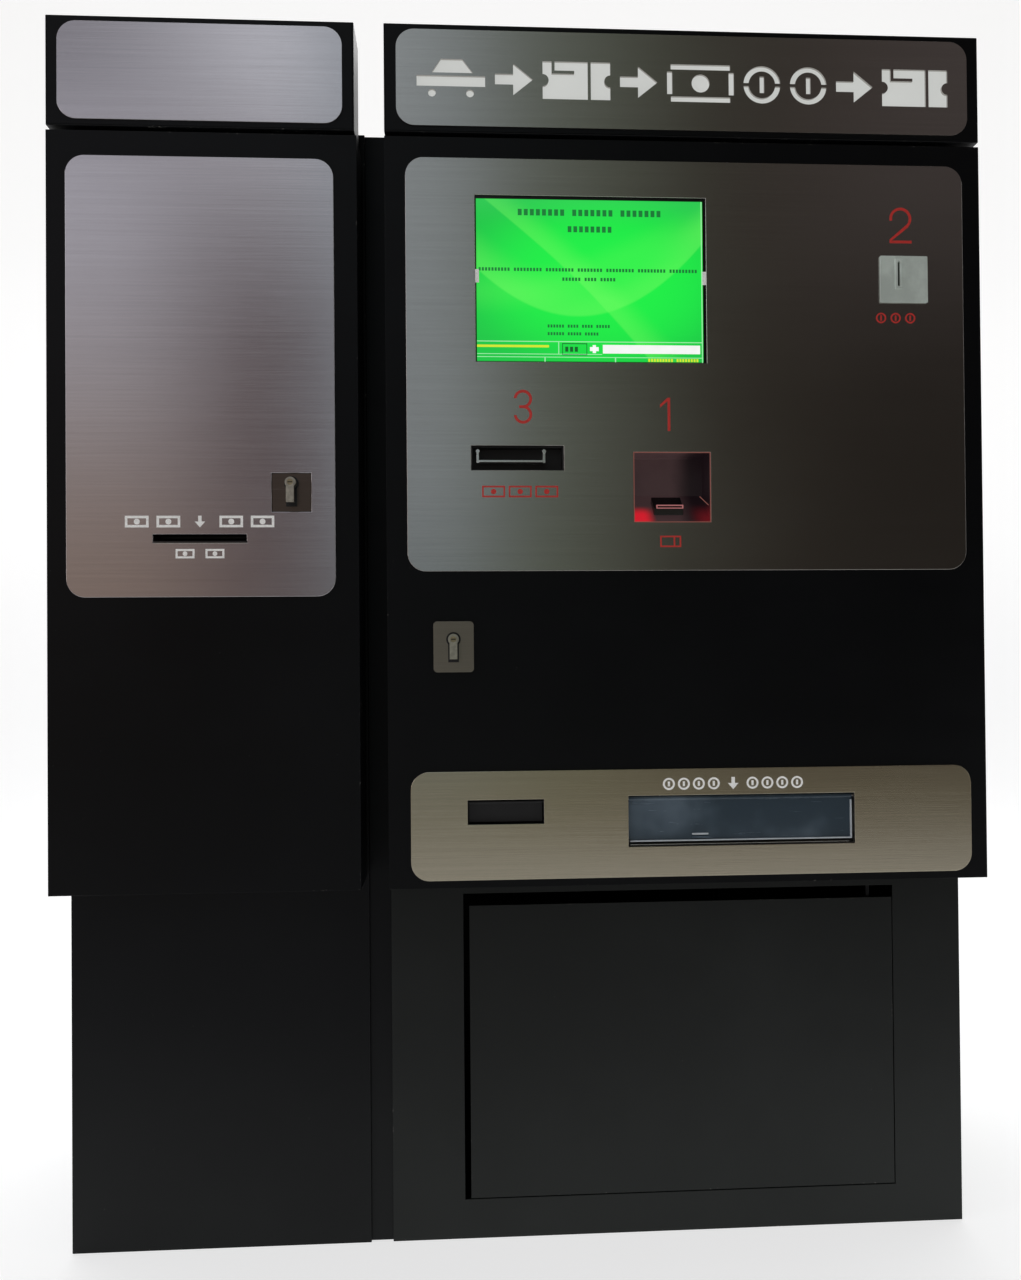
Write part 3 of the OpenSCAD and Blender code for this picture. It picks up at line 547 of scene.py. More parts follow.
def ring(bm, centre, axis, inner, outer, depth, sides=28):
    """A flat ring that stands out from centre along axis."""
    centre, axis = Vector(centre), Vector(axis).normalized()
    side = axis.orthogonal().normalized()
    corners = [
        centre + side * inner, centre + side * outer,
        centre + side * outer + axis * depth, centre + side * inner + axis * depth]
    verts = [bm.verts.new(corner) for corner in corners]
    edges = [bm.edges.new(pair) for pair in zip(verts, verts[1:] + verts[:1])]
    older = set(bm.faces)
    bmesh.ops.spin(
        bm, geom=verts + edges, cent=centre, axis=axis, angle=2 * pi, steps=sides,
        use_merge=True)
    bmesh.ops.recalc_face_normals(bm, faces=[face for face in bm.faces if face not in older])


def plate(bm, points, y, thickness):
    """A thin plate that faces the front, from its outline in X and Z."""
    face = bm.faces.new([bm.verts.new((x, y, z)) for x, z in points])
    moved = bmesh.ops.extrude_face_region(bm, geom=[face])
    verts = [item for item in moved["geom"] if isinstance(item, bmesh.types.BMVert)]
    bmesh.ops.translate(bm, verts=verts, vec=(0, -thickness, 0))
    sides = dict.fromkeys(side for vert in verts for side in vert.link_faces)
    bmesh.ops.recalc_face_normals(bm, faces=[face, *sides])


def wire(bm, points, radius, sides=8, bend=4):
    """A cable along points, with its corners bent round."""
    points = [Vector(point) for point in points]
    path = [points[0]]
    for before, corner, after in zip(points, points[1:], points[2:]):
        reach = min((corner - before).length, (after - corner).length, 30 * MM) * 0.5
        start = corner + (before - corner).normalized() * reach
        end = corner + (after - corner).normalized() * reach
        for step in range(bend + 1):
            t = step / bend
            path.append(start.lerp(corner, t).lerp(corner.lerp(end, t), t))
    path.append(points[-1])
    heading = (path[1] - path[0]).normalized()
    turn = Vector((0, 0, 1)).rotation_difference(heading).to_matrix().to_4x4()
    older = set(bm.faces)
    made = bmesh.ops.create_circle(
        bm, segments=sides, radius=radius, matrix=Matrix.Translation(path[0]) @ turn)
    first = edges_at(made["verts"])
    last = first
    for place in range(1, len(path)):
        moved = bmesh.ops.extrude_edge_only(bm, edges=last)["geom"]
        verts = [item for item in moved if isinstance(item, bmesh.types.BMVert)]
        last = [item for item in moved if isinstance(item, bmesh.types.BMEdge)
                and all(vert in verts for vert in item.verts)]
        bmesh.ops.translate(bm, verts=verts, vec=path[place] - path[place - 1])
        ahead = (path[min(place + 1, len(path) - 1)] - path[place - 1]).normalized()
        bmesh.ops.rotate(
            bm, verts=verts, cent=path[place],
            matrix=heading.rotation_difference(ahead).to_matrix())
        heading = ahead
    bmesh.ops.holes_fill(bm, edges=first + last, sides=sides)
    bmesh.ops.recalc_face_normals(bm, faces=[face for face in bm.faces if face not in older])


def screw(bm, centre, out, radius):
    """A domed screw head with a socket, standing out along out."""
    centre, out = Vector(centre), Vector(out).normalized()
    rod(bm, centre, centre + out * radius * 0.35, radius, 16)
    rod(bm, centre + out * radius * 0.35, centre + out * radius * 0.75, radius, 16,
        0.0, radius * 0.62)
    rod(bm, centre + out * radius * 0.70, centre + out * radius * 0.80, radius * 0.38, 6)


def add_piece(name, bm, finish, body, stands_for=()):
    """Turns a bmesh into a finished piece that rides on a body."""
    for face in bm.faces:
        face.smooth = True
    for edge in bm.edges:
        edge.smooth = (len(edge.link_faces) == 2
                       and edge.calc_face_angle(pi) < radians(SHADED_CREASE))
    mesh = bpy.data.meshes.new(name)
    bm.to_mesh(mesh)
    bm.free()
    piece = bpy.data.objects.new(name, mesh)
    bpy.context.collection.objects.link(piece)
    mesh.materials.append(FINISHES[finish] if isinstance(finish, str) else finish)
    even = piece.modifiers.new("even_shading", "WEIGHTED_NORMAL")
    even.keep_sharp = True
    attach(piece, body)
    if stands_for:
        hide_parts(*stands_for)
    return piece


def add_detail(name, bm, finish, node):
    """A small piece that belongs to a CAD node: it rides with it."""
    return add_piece(name, bm, finish, BODY_OF[node])


def dress(node, finish, edge):
    """Puts a finished skin in place of a CAD node, with its corners rounded by edge."""
    bm = bmesh.new()
    bm.from_mesh(frame["nodes"][node].data)
    bmesh.ops.remove_doubles(bm, verts=bm.verts, dist=0.01 * MM)
    bmesh.ops.dissolve_limit(
        bm, angle_limit=radians(0.5), verts=bm.verts, edges=bm.edges,
        use_dissolve_boundaries=False)
    corners = [e for e in bm.edges if len(e.link_faces) == 2
               and e.calc_face_angle(0.0) > radians(SHARP_CORNER)]
    if corners and edge:
        round_edges(bm, corners, edge, bpy.context.scene.station_edges.segments)
    return add_piece(node + "_skin", bm, finish, BODY_OF[node], (node,))


def recoat(piece, finish, chosen):
    """Gives another finish to the faces for whose middle chosen is true."""
    piece.data.materials.append(FINISHES[finish])
    for face in piece.data.polygons:
        if chosen(face.center):
            face.material_index = 1


# ---- Signs ----


def note_sign(bm, x, z, y, width):
    """A banknote in outline. x and z are its lower left corner."""
    height = width * 0.5
    rim = height * 0.21
    for left, right, low, high in (
            (0, width, 0, rim), (0, width, height - rim, height),
            (0, rim, rim, height - rim), (width - rim, width, rim, height - rim)):
        slab(bm, (x + left, y - 0.3 * MM, z + low), (x + right, y, z + high))
    middle = (x + width / 2, z + height / 2)
    rod(bm, (middle[0], y, middle[1]), (middle[0], y - 0.3 * MM, middle[1]), height * 0.25, 20)


def coin_sign(bm, x, z, y, size):
    """A coin in outline with a bar in its middle."""
    middle = size / 2
    ring(bm, (x + middle, y, z + middle), (0, -1, 0), middle * 0.68, middle, 0.3 * MM)
    slab(bm, (x + middle - size * 0.09, y - 0.3 * MM, z + size * 0.3),
         (x + middle + size * 0.09, y, z + size * 0.7))


def down_arrow_sign(bm, x, z, y, size):
    """An arrow that points down."""
    outline = [(0.36, 1.0), (0.36, 0.5), (0.06, 0.5), (0.5, 0.0), (0.94, 0.5), (0.64, 0.5),
               (0.64, 1.0)]
    plate(bm, [(x + u * size, z + v * size) for u, v in outline], y, 0.3 * MM)


# ---- Pieces ----


class STATION_OT_finishes(bpy.types.Operator):
    """Mixes the paints, metals and plastics"""

    bl_idname = "station.finishes"
    bl_label = "Finishes"

    def execute(self, context):
        steel = context.scene.station_steel
        glow = context.scene.station_glow
        FINISHES.update({
            "coat": black_coat(),
            "main_plate": brushed_steel("brushed_main", steel.main_tone),
            "warm_plate": brushed_steel("brushed_warm", steel.warm_tone),
            "light_plate": brushed_steel("brushed_light", steel.light_tone),
            "bright": brushed_steel("bright_steel", (0.72, 0.72, 0.71), 0.20, 0.4, 0.5),
            "coin_plate": moulded_plastic("coin_plate_satin", (0.62, 0.70, 0.65), 0.38, 0.3),
            "cup": brushed_steel("cup_steel", (0.50, 0.49, 0.47), 0.3, 0.8, 1.0),
            "zinc": zinc_sheet("zinc_sheet"),
            "pay_lock": brushed_steel("pay_lock_steel", (0.26, 0.24, 0.20), 0.34, 0.5, 1.0),
            # Painted shade: the change lock's plate is a darker copy of the lock steel, standing in
            # for the shade of the cut-out it sits behind.
            "change_lock": brushed_steel("change_lock_steel_painted_shade", (0.12, 0.095, 0.08), 0.3, 0.5, 1.0),
            "lever": cast_metal("lever_satin", (0.62, 0.59, 0.50), 0.26),
            "brass": cast_metal("key_brass", (0.55, 0.47, 0.30), 0.25),
            "pin": cast_metal("pin_steel", (0.50, 0.50, 0.50), 0.25),
            "motor_can": cast_metal("motor_can", (0.36, 0.34, 0.33), 0.35),
            "unit": moulded_plastic("unit_plastic", (0.045, 0.048, 0.052), 0.45),
            "gloss_black": moulded_plastic("gloss_black", (0.006, 0.006, 0.007), 0.12, 0.2),
            "deep_black": moulded_plastic("deep_black", (0.004, 0.004, 0.005), 0.5, 0.6),
            "hopper": moulded_plastic("hopper_plastic", (0.34, 0.26, 0.08), 0.4),
            "cash": moulded_plastic("cash_case", (0.09, 0.028, 0.022), 0.42),
            "case": moulded_plastic("computer_case", (0.05, 0.055, 0.06), 0.35, 0.3),
            "board": moulded_plastic("circuit_board", (0.014, 0.090, 0.040), 0.35, 0.2),
            "lamp_board": moulded_plastic("lamp_board", (0.62, 0.68, 0.62), 0.4, 0.2),
            "trunking": moulded_plastic("trunking_grey", (0.30, 0.31, 0.32), 0.5, 0.4),
            "paper": moulded_plastic("thermal_paper", (0.84, 0.83, 0.78), 0.7, 0.2),
            "blue": moulded_plastic("plug_blue", (0.02, 0.06, 0.30), 0.4, 0.3),
            "red_wire": moulded_plastic("wire_red", (0.42, 0.015, 0.012), 0.4, 0.0),
            "black_wire": moulded_plastic("wire_black", (0.010, 0.010, 0.011), 0.4, 0.0),
            "yellow_wire": moulded_plastic("wire_yellow", (0.50, 0.42, 0.03), 0.4, 0.0),
            "clear_edge": moulded_plastic("clear_edge", (0.62, 0.68, 0.72), 0.15, 0.0),
            "acrylic": glowing("lit_acrylic", (0.93, 0.95, 0.92), glow.header, 0.08),
            "green_lamp": glowing("green_lamp", (0.05, 1.0, 0.15), glow.reader),
            # Painted light: the ticket slot's lip glows pink, standing in for the red lamp's light
            # falling on it.
            "painted_glow_lip": glowing("painted_glow_lip", (0.85, 0.32, 0.32), glow.reader * 0.32),
            # Painted light: the niche's rim glows red, standing in for the red lamp's light on its
            # edges.
            "painted_glow_rim": glowing("painted_glow_rim", (0.42, 0.15, 0.12), glow.reader * 0.35),
            "smoked": smoked_sheet("smoked_clear"),
            # The red and white films glow a little: painted light that makes the print brighter
            # than the lamps light it.
            "red": printed_film("red_film", (0.62, 0.040, 0.034), 0.12),
            "white": printed_film("white_film", (0.88, 0.88, 0.86), 0.24),
            "seal": rubber("rubber_seal"),
        })
        return {"FINISHED"}


class STATION_OT_cabinets(bpy.types.Operator):
    """Finishes the sheet steel of the two cabinets"""

    bl_idname = "station.cabinets"
    bl_label = "Cabinets"

    def execute(self, context):
        edges = context.scene.station_edges
        coat = context.scene.station_coat
        for node in (
                "pay_side_left", "pay_side_right", "pay_roof", "pay_floor_plate",
                "change_side_left", "change_side_right", "change_roof",
                "change_floor_plate", "filler_strip", "pay_back_panel",
                "change_back_panel"):
            dress(node, "coat", edges.cut)
        # The pay cabinet's front frame takes the lighter copy of the coat: painted sheen of the
        # pale floor.
        for node, tone in (
                ("pay_front_frame", coat.floor_sheen_tone), ("change_front_frame", coat.tone)):
            dress(node, black_coat(node + "_coat", span(node), tone), edges.cut)
        dress("pay_shelf", "zinc", edges.thin)
        return {"FINISHED"}


class STATION_OT_backs(bpy.types.Operator):
    """Adds the screws and vent hoods of the back panels"""

    bl_idname = "station.backs"
    bl_label = "Back panels"

    def execute(self, context):
        screws_per_side = 7
        vent_rows, vent_step = 6, 16 * MM
        for panel, vent_width in (
                ("pay_back_panel", 228 * MM), ("change_back_panel", 168 * MM)):
            cabinet = panel.split("_")[0]
            low, high = span(panel)
            first, last = low.z + 30 * MM, high.z - 30 * MM
            bm = bmesh.new()
            for x in (low.x + 14 * MM, high.x - 14 * MM):
                for place in range(screws_per_side):
                    z = first + (last - first) * place / (screws_per_side - 1)
                    screw(bm, (x, high.y, z), (0, 1, 0), 3.4 * MM)
            add_detail(cabinet + "_back_screws", bm, "pin", panel)
            bm = bmesh.new()
            left = (low.x + high.x - vent_width) / 2
            for lowest in (260 * MM, 1330 * MM):
                for row in range(vent_rows):
                    z = lowest + row * vent_step + 5.2 * MM
                    slab(bm, (left, high.y - 0.5 * MM, z),
                         (left + vent_width, high.y + 5 * MM, z + 5 * MM), 2.2 * MM, 3)
            add_detail(cabinet + "_vent_hoods", bm, "coat", panel)
        return {"FINISHED"}


class STATION_OT_anchors(bpy.types.Operator):
    """Adds the anchor bolts and the grommet of the cable entry"""

    bl_idname = "station.anchors"
    bl_label = "Floor anchors"

    def execute(self, context):
        for mount in RECORD["mounts"]:
            place = Vector(mount["pos_m"])
            plate_node = "pay_floor_plate" if place.x > 0 else "change_floor_plate"
            place.z = span(plate_node)[1].z
            if mount["kind"] == "bolt_pattern":
                spacing = Vector((mount["dims"]["spacing_x_mm"], mount["dims"]["spacing_y_mm"], 0))
                bm = bmesh.new()
                for x in (-0.5, 0.5):
                    for y in (-0.5, 0.5):
                        foot = place + Vector((x * spacing.x, y * spacing.y, 0)) * MM
                        washer, nut, tip = (
                            foot + Vector((0, 0, height * MM)) for height in (2, 11, 22))
                        rod(bm, foot, washer, 14 * MM, 28, 0.4 * MM)
                        rod(bm, washer, nut, 10 * MM, 6, 0.8 * MM)
                        rod(bm, nut, tip, 5.9 * MM, 20, 0.8 * MM)
                add_detail(mount["name"] + "_bolts", bm, "pin", plate_node)
            elif mount["kind"] == "bore":
                bm = bmesh.new()
                ring(bm, place, (0, 0, 1), 21 * MM, 31 * MM, 3 * MM, 36)
                add_detail("cable_grommet", bm, "seal", plate_node)
        return {"FINISHED"}


class STATION_OT_headers(bpy.types.Operator):
    """Finishes the two sign boxes and the lit signs in the larger one"""

    bl_idname = "station.headers"
    bl_label = "Headers"

    def execute(self, context):
        edges = context.scene.station_edges
        for node, count in (("pay_header_box", 5), ("change_header_box", 3)):
            dress(node, black_coat(node + "_coat", span(node)), edges.fold)
            low, high = span(node)
            bm = bmesh.new()
            for place in range(count):
                x = low.x + 30 * MM + (high.x - low.x - 60 * MM) * place / (count - 1)
                screw(bm, (x, low.y + 36 * MM, high.z), (0, 0, 1), 3.2 * MM)
            add_detail(node + "_screws", bm, "pin", node)
        for node, finish in (
                ("pay_header_fascia", "main_plate"), ("change_header_fascia", "light_plate")):
            behind = span(node)[0].y + 1.9 * MM
            recoat(dress(node, finish, edges.thin), "coat", lambda middle: middle.y > behind)
        dress("header_diffuser", "acrylic", 0.5 * MM)
        dress("header_lamp_board", "lamp_board", 0.2 * MM)
        return {"FINISHED"}


class STATION_OT_doors(bpy.types.Operator):
    """Finishes the two doors, with their seals and stiffeners"""

    bl_idname = "station.doors"
    bl_label = "Doors"

    def execute(self, context):
        edges = context.scene.station_edges
        for node in ("pay_door", "change_door"):
            dress(node, black_coat(node + "_coat", span(node)), edges.fold)
            low, high = span(node)
            back = high.y - 1.0 * MM
            inset = 3.5 * MM
            bm = bmesh.new()
            for z in (low.z + inset, high.z - inset):
                slab(bm, (low.x + 8 * MM, back - 9 * MM, z - 1.2 * MM),
                     (high.x - 8 * MM, back, z + 1.2 * MM), 0.5 * MM)
            add_detail(node + "_seal", bm, "seal", node)
            bm = bmesh.new()
            inner = low.y + 2 * MM
            for z in (low.z + 12 * MM, high.z - 26 * MM):
                slab(bm, (low.x + 12 * MM, inner, z),
                     (high.x - 12 * MM, inner + 14 * MM, z + 14 * MM), 1.5 * MM, 3)
            add_detail(node + "_stiffeners", bm, "zinc", node)
        return {"FINISHED"}


class STATION_OT_fascias(bpy.types.Operator):
    """Finishes the brushed plates on the doors"""

    bl_idname = "station.fascias"
    bl_label = "Fascias"

    def execute(self, context):
        edges = context.scene.station_edges
        dress("main_fascia", "main_plate", edges.fascia)
        dress("lower_fascia", "warm_plate", edges.fascia)
        dress("change_fascia", "light_plate", edges.fascia)
        return {"FINISHED"}


class STATION_OT_screen(bpy.types.Operator):
    """Builds the lit display"""

    bl_idname = "station.screen"
    bl_label = "Screen"

    def execute(self, context):
        low, high = span("screen_glass")
        width, height = high.x - low.x, high.z - low.z
        bm = bmesh.new()
        slab(bm, low, high, 0.4 * MM)
        add_piece("screen_pane", bm, screen_picture("screen_green", low, high),
                  BODY_OF["screen_glass"], ("screen_glass",))

        def mark(bm, left, right, top, bottom):
            """A bar, placed by fractions of the screen from its top left corner."""
            slab(bm, (low.x + left * width, low.y - 0.2 * MM, high.z - bottom * height),
                 (low.x + right * width, low.y + 0.2 * MM, high.z - top * height))

        def line(bm, left, right, top, bottom, words):
            """A row of blocks that stands for a line of words."""
            block = (bottom - top) * height / width * 0.62
            step = block * 1.55
            count = int((right - left) / step)
            gaps = {round(count * word / words) for word in range(1, words)}
            for place in range(count):
                if place not in gaps:
                    mark(bm, left + place * step, left + place * step + block, top, bottom)

        bm = bmesh.new()
        line(bm, 0.185, 0.815, 0.078, 0.116, 3)
        line(bm, 0.40, 0.615, 0.178, 0.214, 1)
        line(bm, 0.015, 0.975, 0.432, 0.452, 7)
        line(bm, 0.375, 0.615, 0.488, 0.508, 3)
        line(bm, 0.310, 0.595, 0.772, 0.790, 4)
        line(bm, 0.310, 0.535, 0.818, 0.836, 3)
        add_detail("screen_lines", bm, lit_mark("screen_line", (0.006, 0.20, 0.035), 1.0),
                   "screen_glass")
        bm = bmesh.new()
        line(bm, 0.385, 0.465, 0.905, 0.935, 1)
        for left, right, top, bottom in (
                (0.372, 0.480, 0.884, 0.889), (0.372, 0.480, 0.951, 0.956),
                (0.372, 0.375, 0.884, 0.956), (0.477, 0.480, 0.884, 0.956)):
            mark(bm, left, right, top, bottom)
        add_detail("screen_caption", bm, lit_mark("screen_dark", (0.003, 0.12, 0.02), 1.0),
                   "screen_glass")
        bm = bmesh.new()
        for left, right, top, bottom in (
                (0.006, 0.984, 0.872, 0.877), (0.006, 0.545, 0.948, 0.952),
                (0.006, 0.984, 0.966, 0.970), (0.295, 0.300, 0.966, 0.996),
                (0.60, 0.605, 0.966, 0.996), (0.355, 0.359, 0.877, 0.948),
                (0.980, 0.984, 0.02, 0.996)):
            mark(bm, left, right, top, bottom)
        add_detail("screen_rules", bm, lit_mark("screen_pale", (0.42, 1.0, 0.50), 0.9),
                   "screen_glass")
        bm = bmesh.new()
        mark(bm, 0.548, 0.972, 0.892, 0.944)
        mark(bm, 0.492, 0.530, 0.906, 0.930)
        mark(bm, 0.504, 0.518, 0.894, 0.942)
        add_detail("screen_field", bm, lit_mark("screen_white", (0.97, 1.0, 0.97), 1.0),
                   "screen_glass")
        bm = bmesh.new()
        mark(bm, 0.006, 0.315, 0.896, 0.910)
        line(bm, 0.745, 0.975, 0.974, 0.992, 2)
        add_detail("screen_notes", bm, lit_mark("screen_yellow", (0.72, 0.86, 0.03), 1.0),
                   "screen_glass")
        bm = bmesh.new()
        for x in (low.x - 0.5 * MM, high.x - 5.0 * MM):
            slab(bm, (x, low.y - 1.2 * MM, low.z + height * 0.475),
                 (x + 5.5 * MM, low.y - 0.6 * MM, low.z + height * 0.555), 0.15 * MM)
        add_detail("screen_tabs", bm, "white", "screen_glass")
        return {"FINISHED"}


class STATION_OT_display(bpy.types.Operator):
    """Finishes the display unit behind the screen, with its screws, vents and plug"""

    bl_idname = "station.display"
    bl_label = "Display unit"

    def execute(self, context):
        edges = context.scene.station_edges
        dress("display_unit", "unit", edges.moulded)
        low, high = span("display_unit")
        frame_back = high.y - 18 * MM
        bm = bmesh.new()
        for x in (low.x + 12 * MM, high.x - 12 * MM):
            for z in (low.z + 12 * MM, high.z - 12 * MM):
                screw(bm, (x, frame_back, z), (0, 1, 0), 3.5 * MM)
        add_detail("display_screws", bm, "pin", "display_unit")
        bm = bmesh.new()
        for row in range(9):
            for side in (low.x + 28 * MM, high.x - 62 * MM):
                z = low.z + 70 * MM + row * 11 * MM
                slab(bm, (side, frame_back - 0.4 * MM, z),
                     (side + 34 * MM, frame_back + 0.3 * MM, z + 4 * MM))
        add_detail("display_vents", bm, "deep_black", "display_unit")
        bm = bmesh.new()
        plug = (low.x + high.x) / 2
        slab(bm, (plug - 22 * MM, frame_back, low.z + 12 * MM),
             (plug + 8 * MM, frame_back + 9 * MM, low.z + 24 * MM), 1 * MM)
        add_detail("display_plug", bm, "blue", "display_unit")
        return {"FINISHED"}


class STATION_OT_banknotes(bpy.types.Operator):
    """Finishes the banknote mouth, validator and cashbox"""

    bl_idname = "station.banknotes"
    bl_label = "Banknote path"

    def execute(self, context):
        edges = context.scene.station_edges
        dress("banknote_mouth", "deep_black", edges.fascia)
        dress("banknote_lip", "bright", 0.7 * MM)
        dress("banknote_validator", "unit", edges.moulded)
        dress("banknote_cashbox", "cash", edges.moulded)
        low, high = span("banknote_validator")
        bm = bmesh.new()
        for y in (low.y + 12 * MM, high.y - 12 * MM):
            for z in (low.z + 10 * MM, high.z - 10 * MM):
                screw(bm, (high.x, y, z), (1, 0, 0), 2.6 * MM)
                screw(bm, (low.x, y, z), (-1, 0, 0), 2.6 * MM)
        add_detail("validator_screws", bm, "pin", "banknote_validator")
        bm = bmesh.new()
        slab(bm, (low.x + 25 * MM, low.y + 40 * MM, high.z - 0.2 * MM),
             (high.x - 25 * MM, low.y + 62 * MM, high.z + 4 * MM), 1.2 * MM)
        add_detail("validator_latch", bm, "hopper", "banknote_validator")
        return {"FINISHED"}


class STATION_OT_tickets(bpy.types.Operator):
    """Finishes the ticket niche and reader"""

    bl_idname = "station.tickets"
    bl_label = "Ticket reader"

    def execute(self, context):
        edges = context.scene.station_edges
        niche_low, niche_high = span("ticket_niche")
        dress("ticket_niche", niche_plastic("niche_plastic", niche_low, niche_high), 0.8 * MM)
        dress("ticket_slot_mouth", "gloss_black", 1.2 * MM)
        dress("ticket_reader", "unit", edges.moulded)
        low, high = span("ticket_slot_mouth")
        middle = (low.x + high.x) / 2 + 1.5 * MM
        front = low.y - 0.3 * MM
        bm = bmesh.new()
        # The slot's rim glows pink: painted light of the reader's red lamp.
        rim(bm, middle - 18 * MM, middle + 18 * MM, low.z + 9 * MM, low.z + 14 * MM, 1.2 * MM,
            front - 0.8 * MM, front + 3 * MM)
        add_detail("ticket_slot_rim", bm, "painted_glow_lip", "ticket_niche")
        bm = bmesh.new()
        # The niche's rim and a thin rod in it glow red: painted light of the reader's red lamp.
        left, right = niche_low.x + 3 * MM, niche_high.x - 3 * MM
        down, up = niche_low.z + 3 * MM, niche_high.z - 3 * MM
        front = span("main_fascia")[0].y
        rim(bm, left, right, down, up, 0.9 * MM, front - 0.3 * MM, front + 1.5 * MM)
        rod(bm, (right - 12 * MM, niche_low.y + 9 * MM, down + 36 * MM),
            (right - 1 * MM, niche_low.y + 5 * MM, down + 24 * MM), 0.6 * MM, 8)
        add_detail("painted_glow_rim", bm, "painted_glow_rim", "ticket_niche")
        low, high = span("ticket_reader")
        bm = bmesh.new()
        slab(bm, (high.x, low.y + 14 * MM, low.z + 12 * MM),
             (high.x + 1.6 * MM, high.y - 12 * MM, high.z - 12 * MM), 0.2 * MM)
        add_detail("reader_board", bm, "board", "ticket_reader")
        bm = bmesh.new()
        for row, size in enumerate((14, 9, 18)):
            y = low.y + (24 + row * 26) * MM
            slab(bm, (high.x + 1.6 * MM, y, low.z + 24 * MM),
                 (high.x + 3.6 * MM, y + size * MM, low.z + (24 + size) * MM), 0.3 * MM)
        add_detail("reader_chips", bm, "deep_black", "ticket_reader")
        return {"FINISHED"}


class STATION_OT_coins(bpy.types.Operator):
    """Finishes the coin plate, validator, chutes and hoppers"""

    bl_idname = "station.coins"
    bl_label = "Coin path"

    def execute(self, context):
        edges = context.scene.station_edges
        dress("coin_plate", "coin_plate", edges.fascia)
        dress("coin_validator", "unit", edges.moulded)
        dress("coin_chute", "zinc", edges.thin)
        dress("coin_hoppers", "hopper", edges.moulded)
        dress("payout_chute", "zinc", edges.thin)
        low, high = span("coin_hoppers")
        cans, caps = bmesh.new(), bmesh.new()
        for x in (low.x + 55 * MM, high.x - 55 * MM):
            start = Vector((x, high.y - 1 * MM, low.z + 42 * MM))
            rod(cans, start, start + Vector((0, 34 * MM, 0)), 18 * MM, 32, 1.5 * MM)
            rod(caps, start + Vector((0, 34 * MM, 0)), start + Vector((0, 40 * MM, 0)), 15 * MM,
                32, 1.5 * MM)
            slab(caps, (x - 14 * MM, high.y - 1 * MM, high.z - 60 * MM),
                 (x + 14 * MM, high.y + 10 * MM, high.z - 46 * MM), 1 * MM)
        add_detail("hopper_motors", cans, "motor_can", "coin_hoppers")
        add_detail("hopper_motor_caps", caps, "deep_black", "coin_hoppers")
        return {"FINISHED"}


class STATION_OT_vault(bpy.types.Operator):
    """Finishes the coin vault, with its handle and lock"""

    bl_idname = "station.vault"
    bl_label = "Coin vault"

    def execute(self, context):
        dress("coin_vault", "coat", 0.8 * MM)
        low, high = span("coin_vault")
        front, middle = low.y, (low.x + high.x) / 2
        left, right = middle - 50 * MM, middle + 50 * MM
        level = high.z - 60 * MM
        bm = bmesh.new()
        wire(bm, [(left, front + 1 * MM, level), (left, front - 24 * MM, level),
                  (right, front - 24 * MM, level), (right, front + 1 * MM, level)],
             4.5 * MM, 16, 6)
        for x in (left, right):
            rod(bm, (x, front + 0.5 * MM, level), (x, front - 3 * MM, level), 10 * MM, 24,
                0.8 * MM)
        add_detail("vault_handle", bm, "pin", "coin_vault")
        level -= 70 * MM
        bm = bmesh.new()
        rod(bm, (middle, front + 0.5 * MM, level), (middle, front - 6 * MM, level), 12 * MM, 32,
            1 * MM)
        rod(bm, (middle, front - 6 * MM, level), (middle, front - 8 * MM, level), 8 * MM, 32,
            0.6 * MM)
        add_detail("vault_lock", bm, "brass", "coin_vault")
        return {"FINISHED"}


class STATION_OT_cup(bpy.types.Operator):
    """Finishes the coin cup and its smoky flap"""

    bl_idname = "station.cup"
    bl_label = "Coin cup"

    def execute(self, context):
        edges = context.scene.station_edges
        dress("coin_cup", "cup", edges.cut)
        dress("cup_flap", "smoked", 0.5 * MM)
        low, high = span("cup_flap")
        front = low.y
        bm = bmesh.new()
        slab(bm, (low.x + 1 * MM, front - 0.4 * MM, low.z - 0.4 * MM),
             (high.x - 1 * MM, front + 4 * MM, low.z + 1.4 * MM), 0.3 * MM)
        slab(bm, (high.x - 2.6 * MM, front - 0.4 * MM, low.z + 1.4 * MM),
             (high.x - 1 * MM, front + 4 * MM, high.z - 8 * MM), 0.3 * MM)
        middle = (low.x + high.x) / 2 - 56 * MM
        slab(bm, (middle - 11 * MM, front - 2.2 * MM, low.z + 8 * MM),
             (middle + 11 * MM, front, low.z + 10.4 * MM), 0.8 * MM, 3)
        add_detail("flap_edges", bm, "clear_edge", "cup_flap")
        low, high = span("coin_cup")
        bm = bmesh.new()
        slab(bm, (low.x + 5 * MM, low.y + 1 * MM, low.z + 3.2 * MM),
             (high.x - 8 * MM, low.y + 2.4 * MM, low.z + 4.2 * MM), 0.2 * MM)
        add_detail("cup_lip", bm, "bright", "coin_cup")
        return {"FINISHED"}


class STATION_OT_receipts(bpy.types.Operator):
    """Finishes the receipt printer, its flap and the paper roll"""

    bl_idname = "station.receipts"
    bl_label = "Receipt path"

    def execute(self, context):
        edges = context.scene.station_edges
        dress("receipt_printer", "unit", 1.0 * MM)
        dress("receipt_flap", "deep_black", edges.cut)
        dress("paper_roll", "paper", edges.thin)
        return {"FINISHED"}


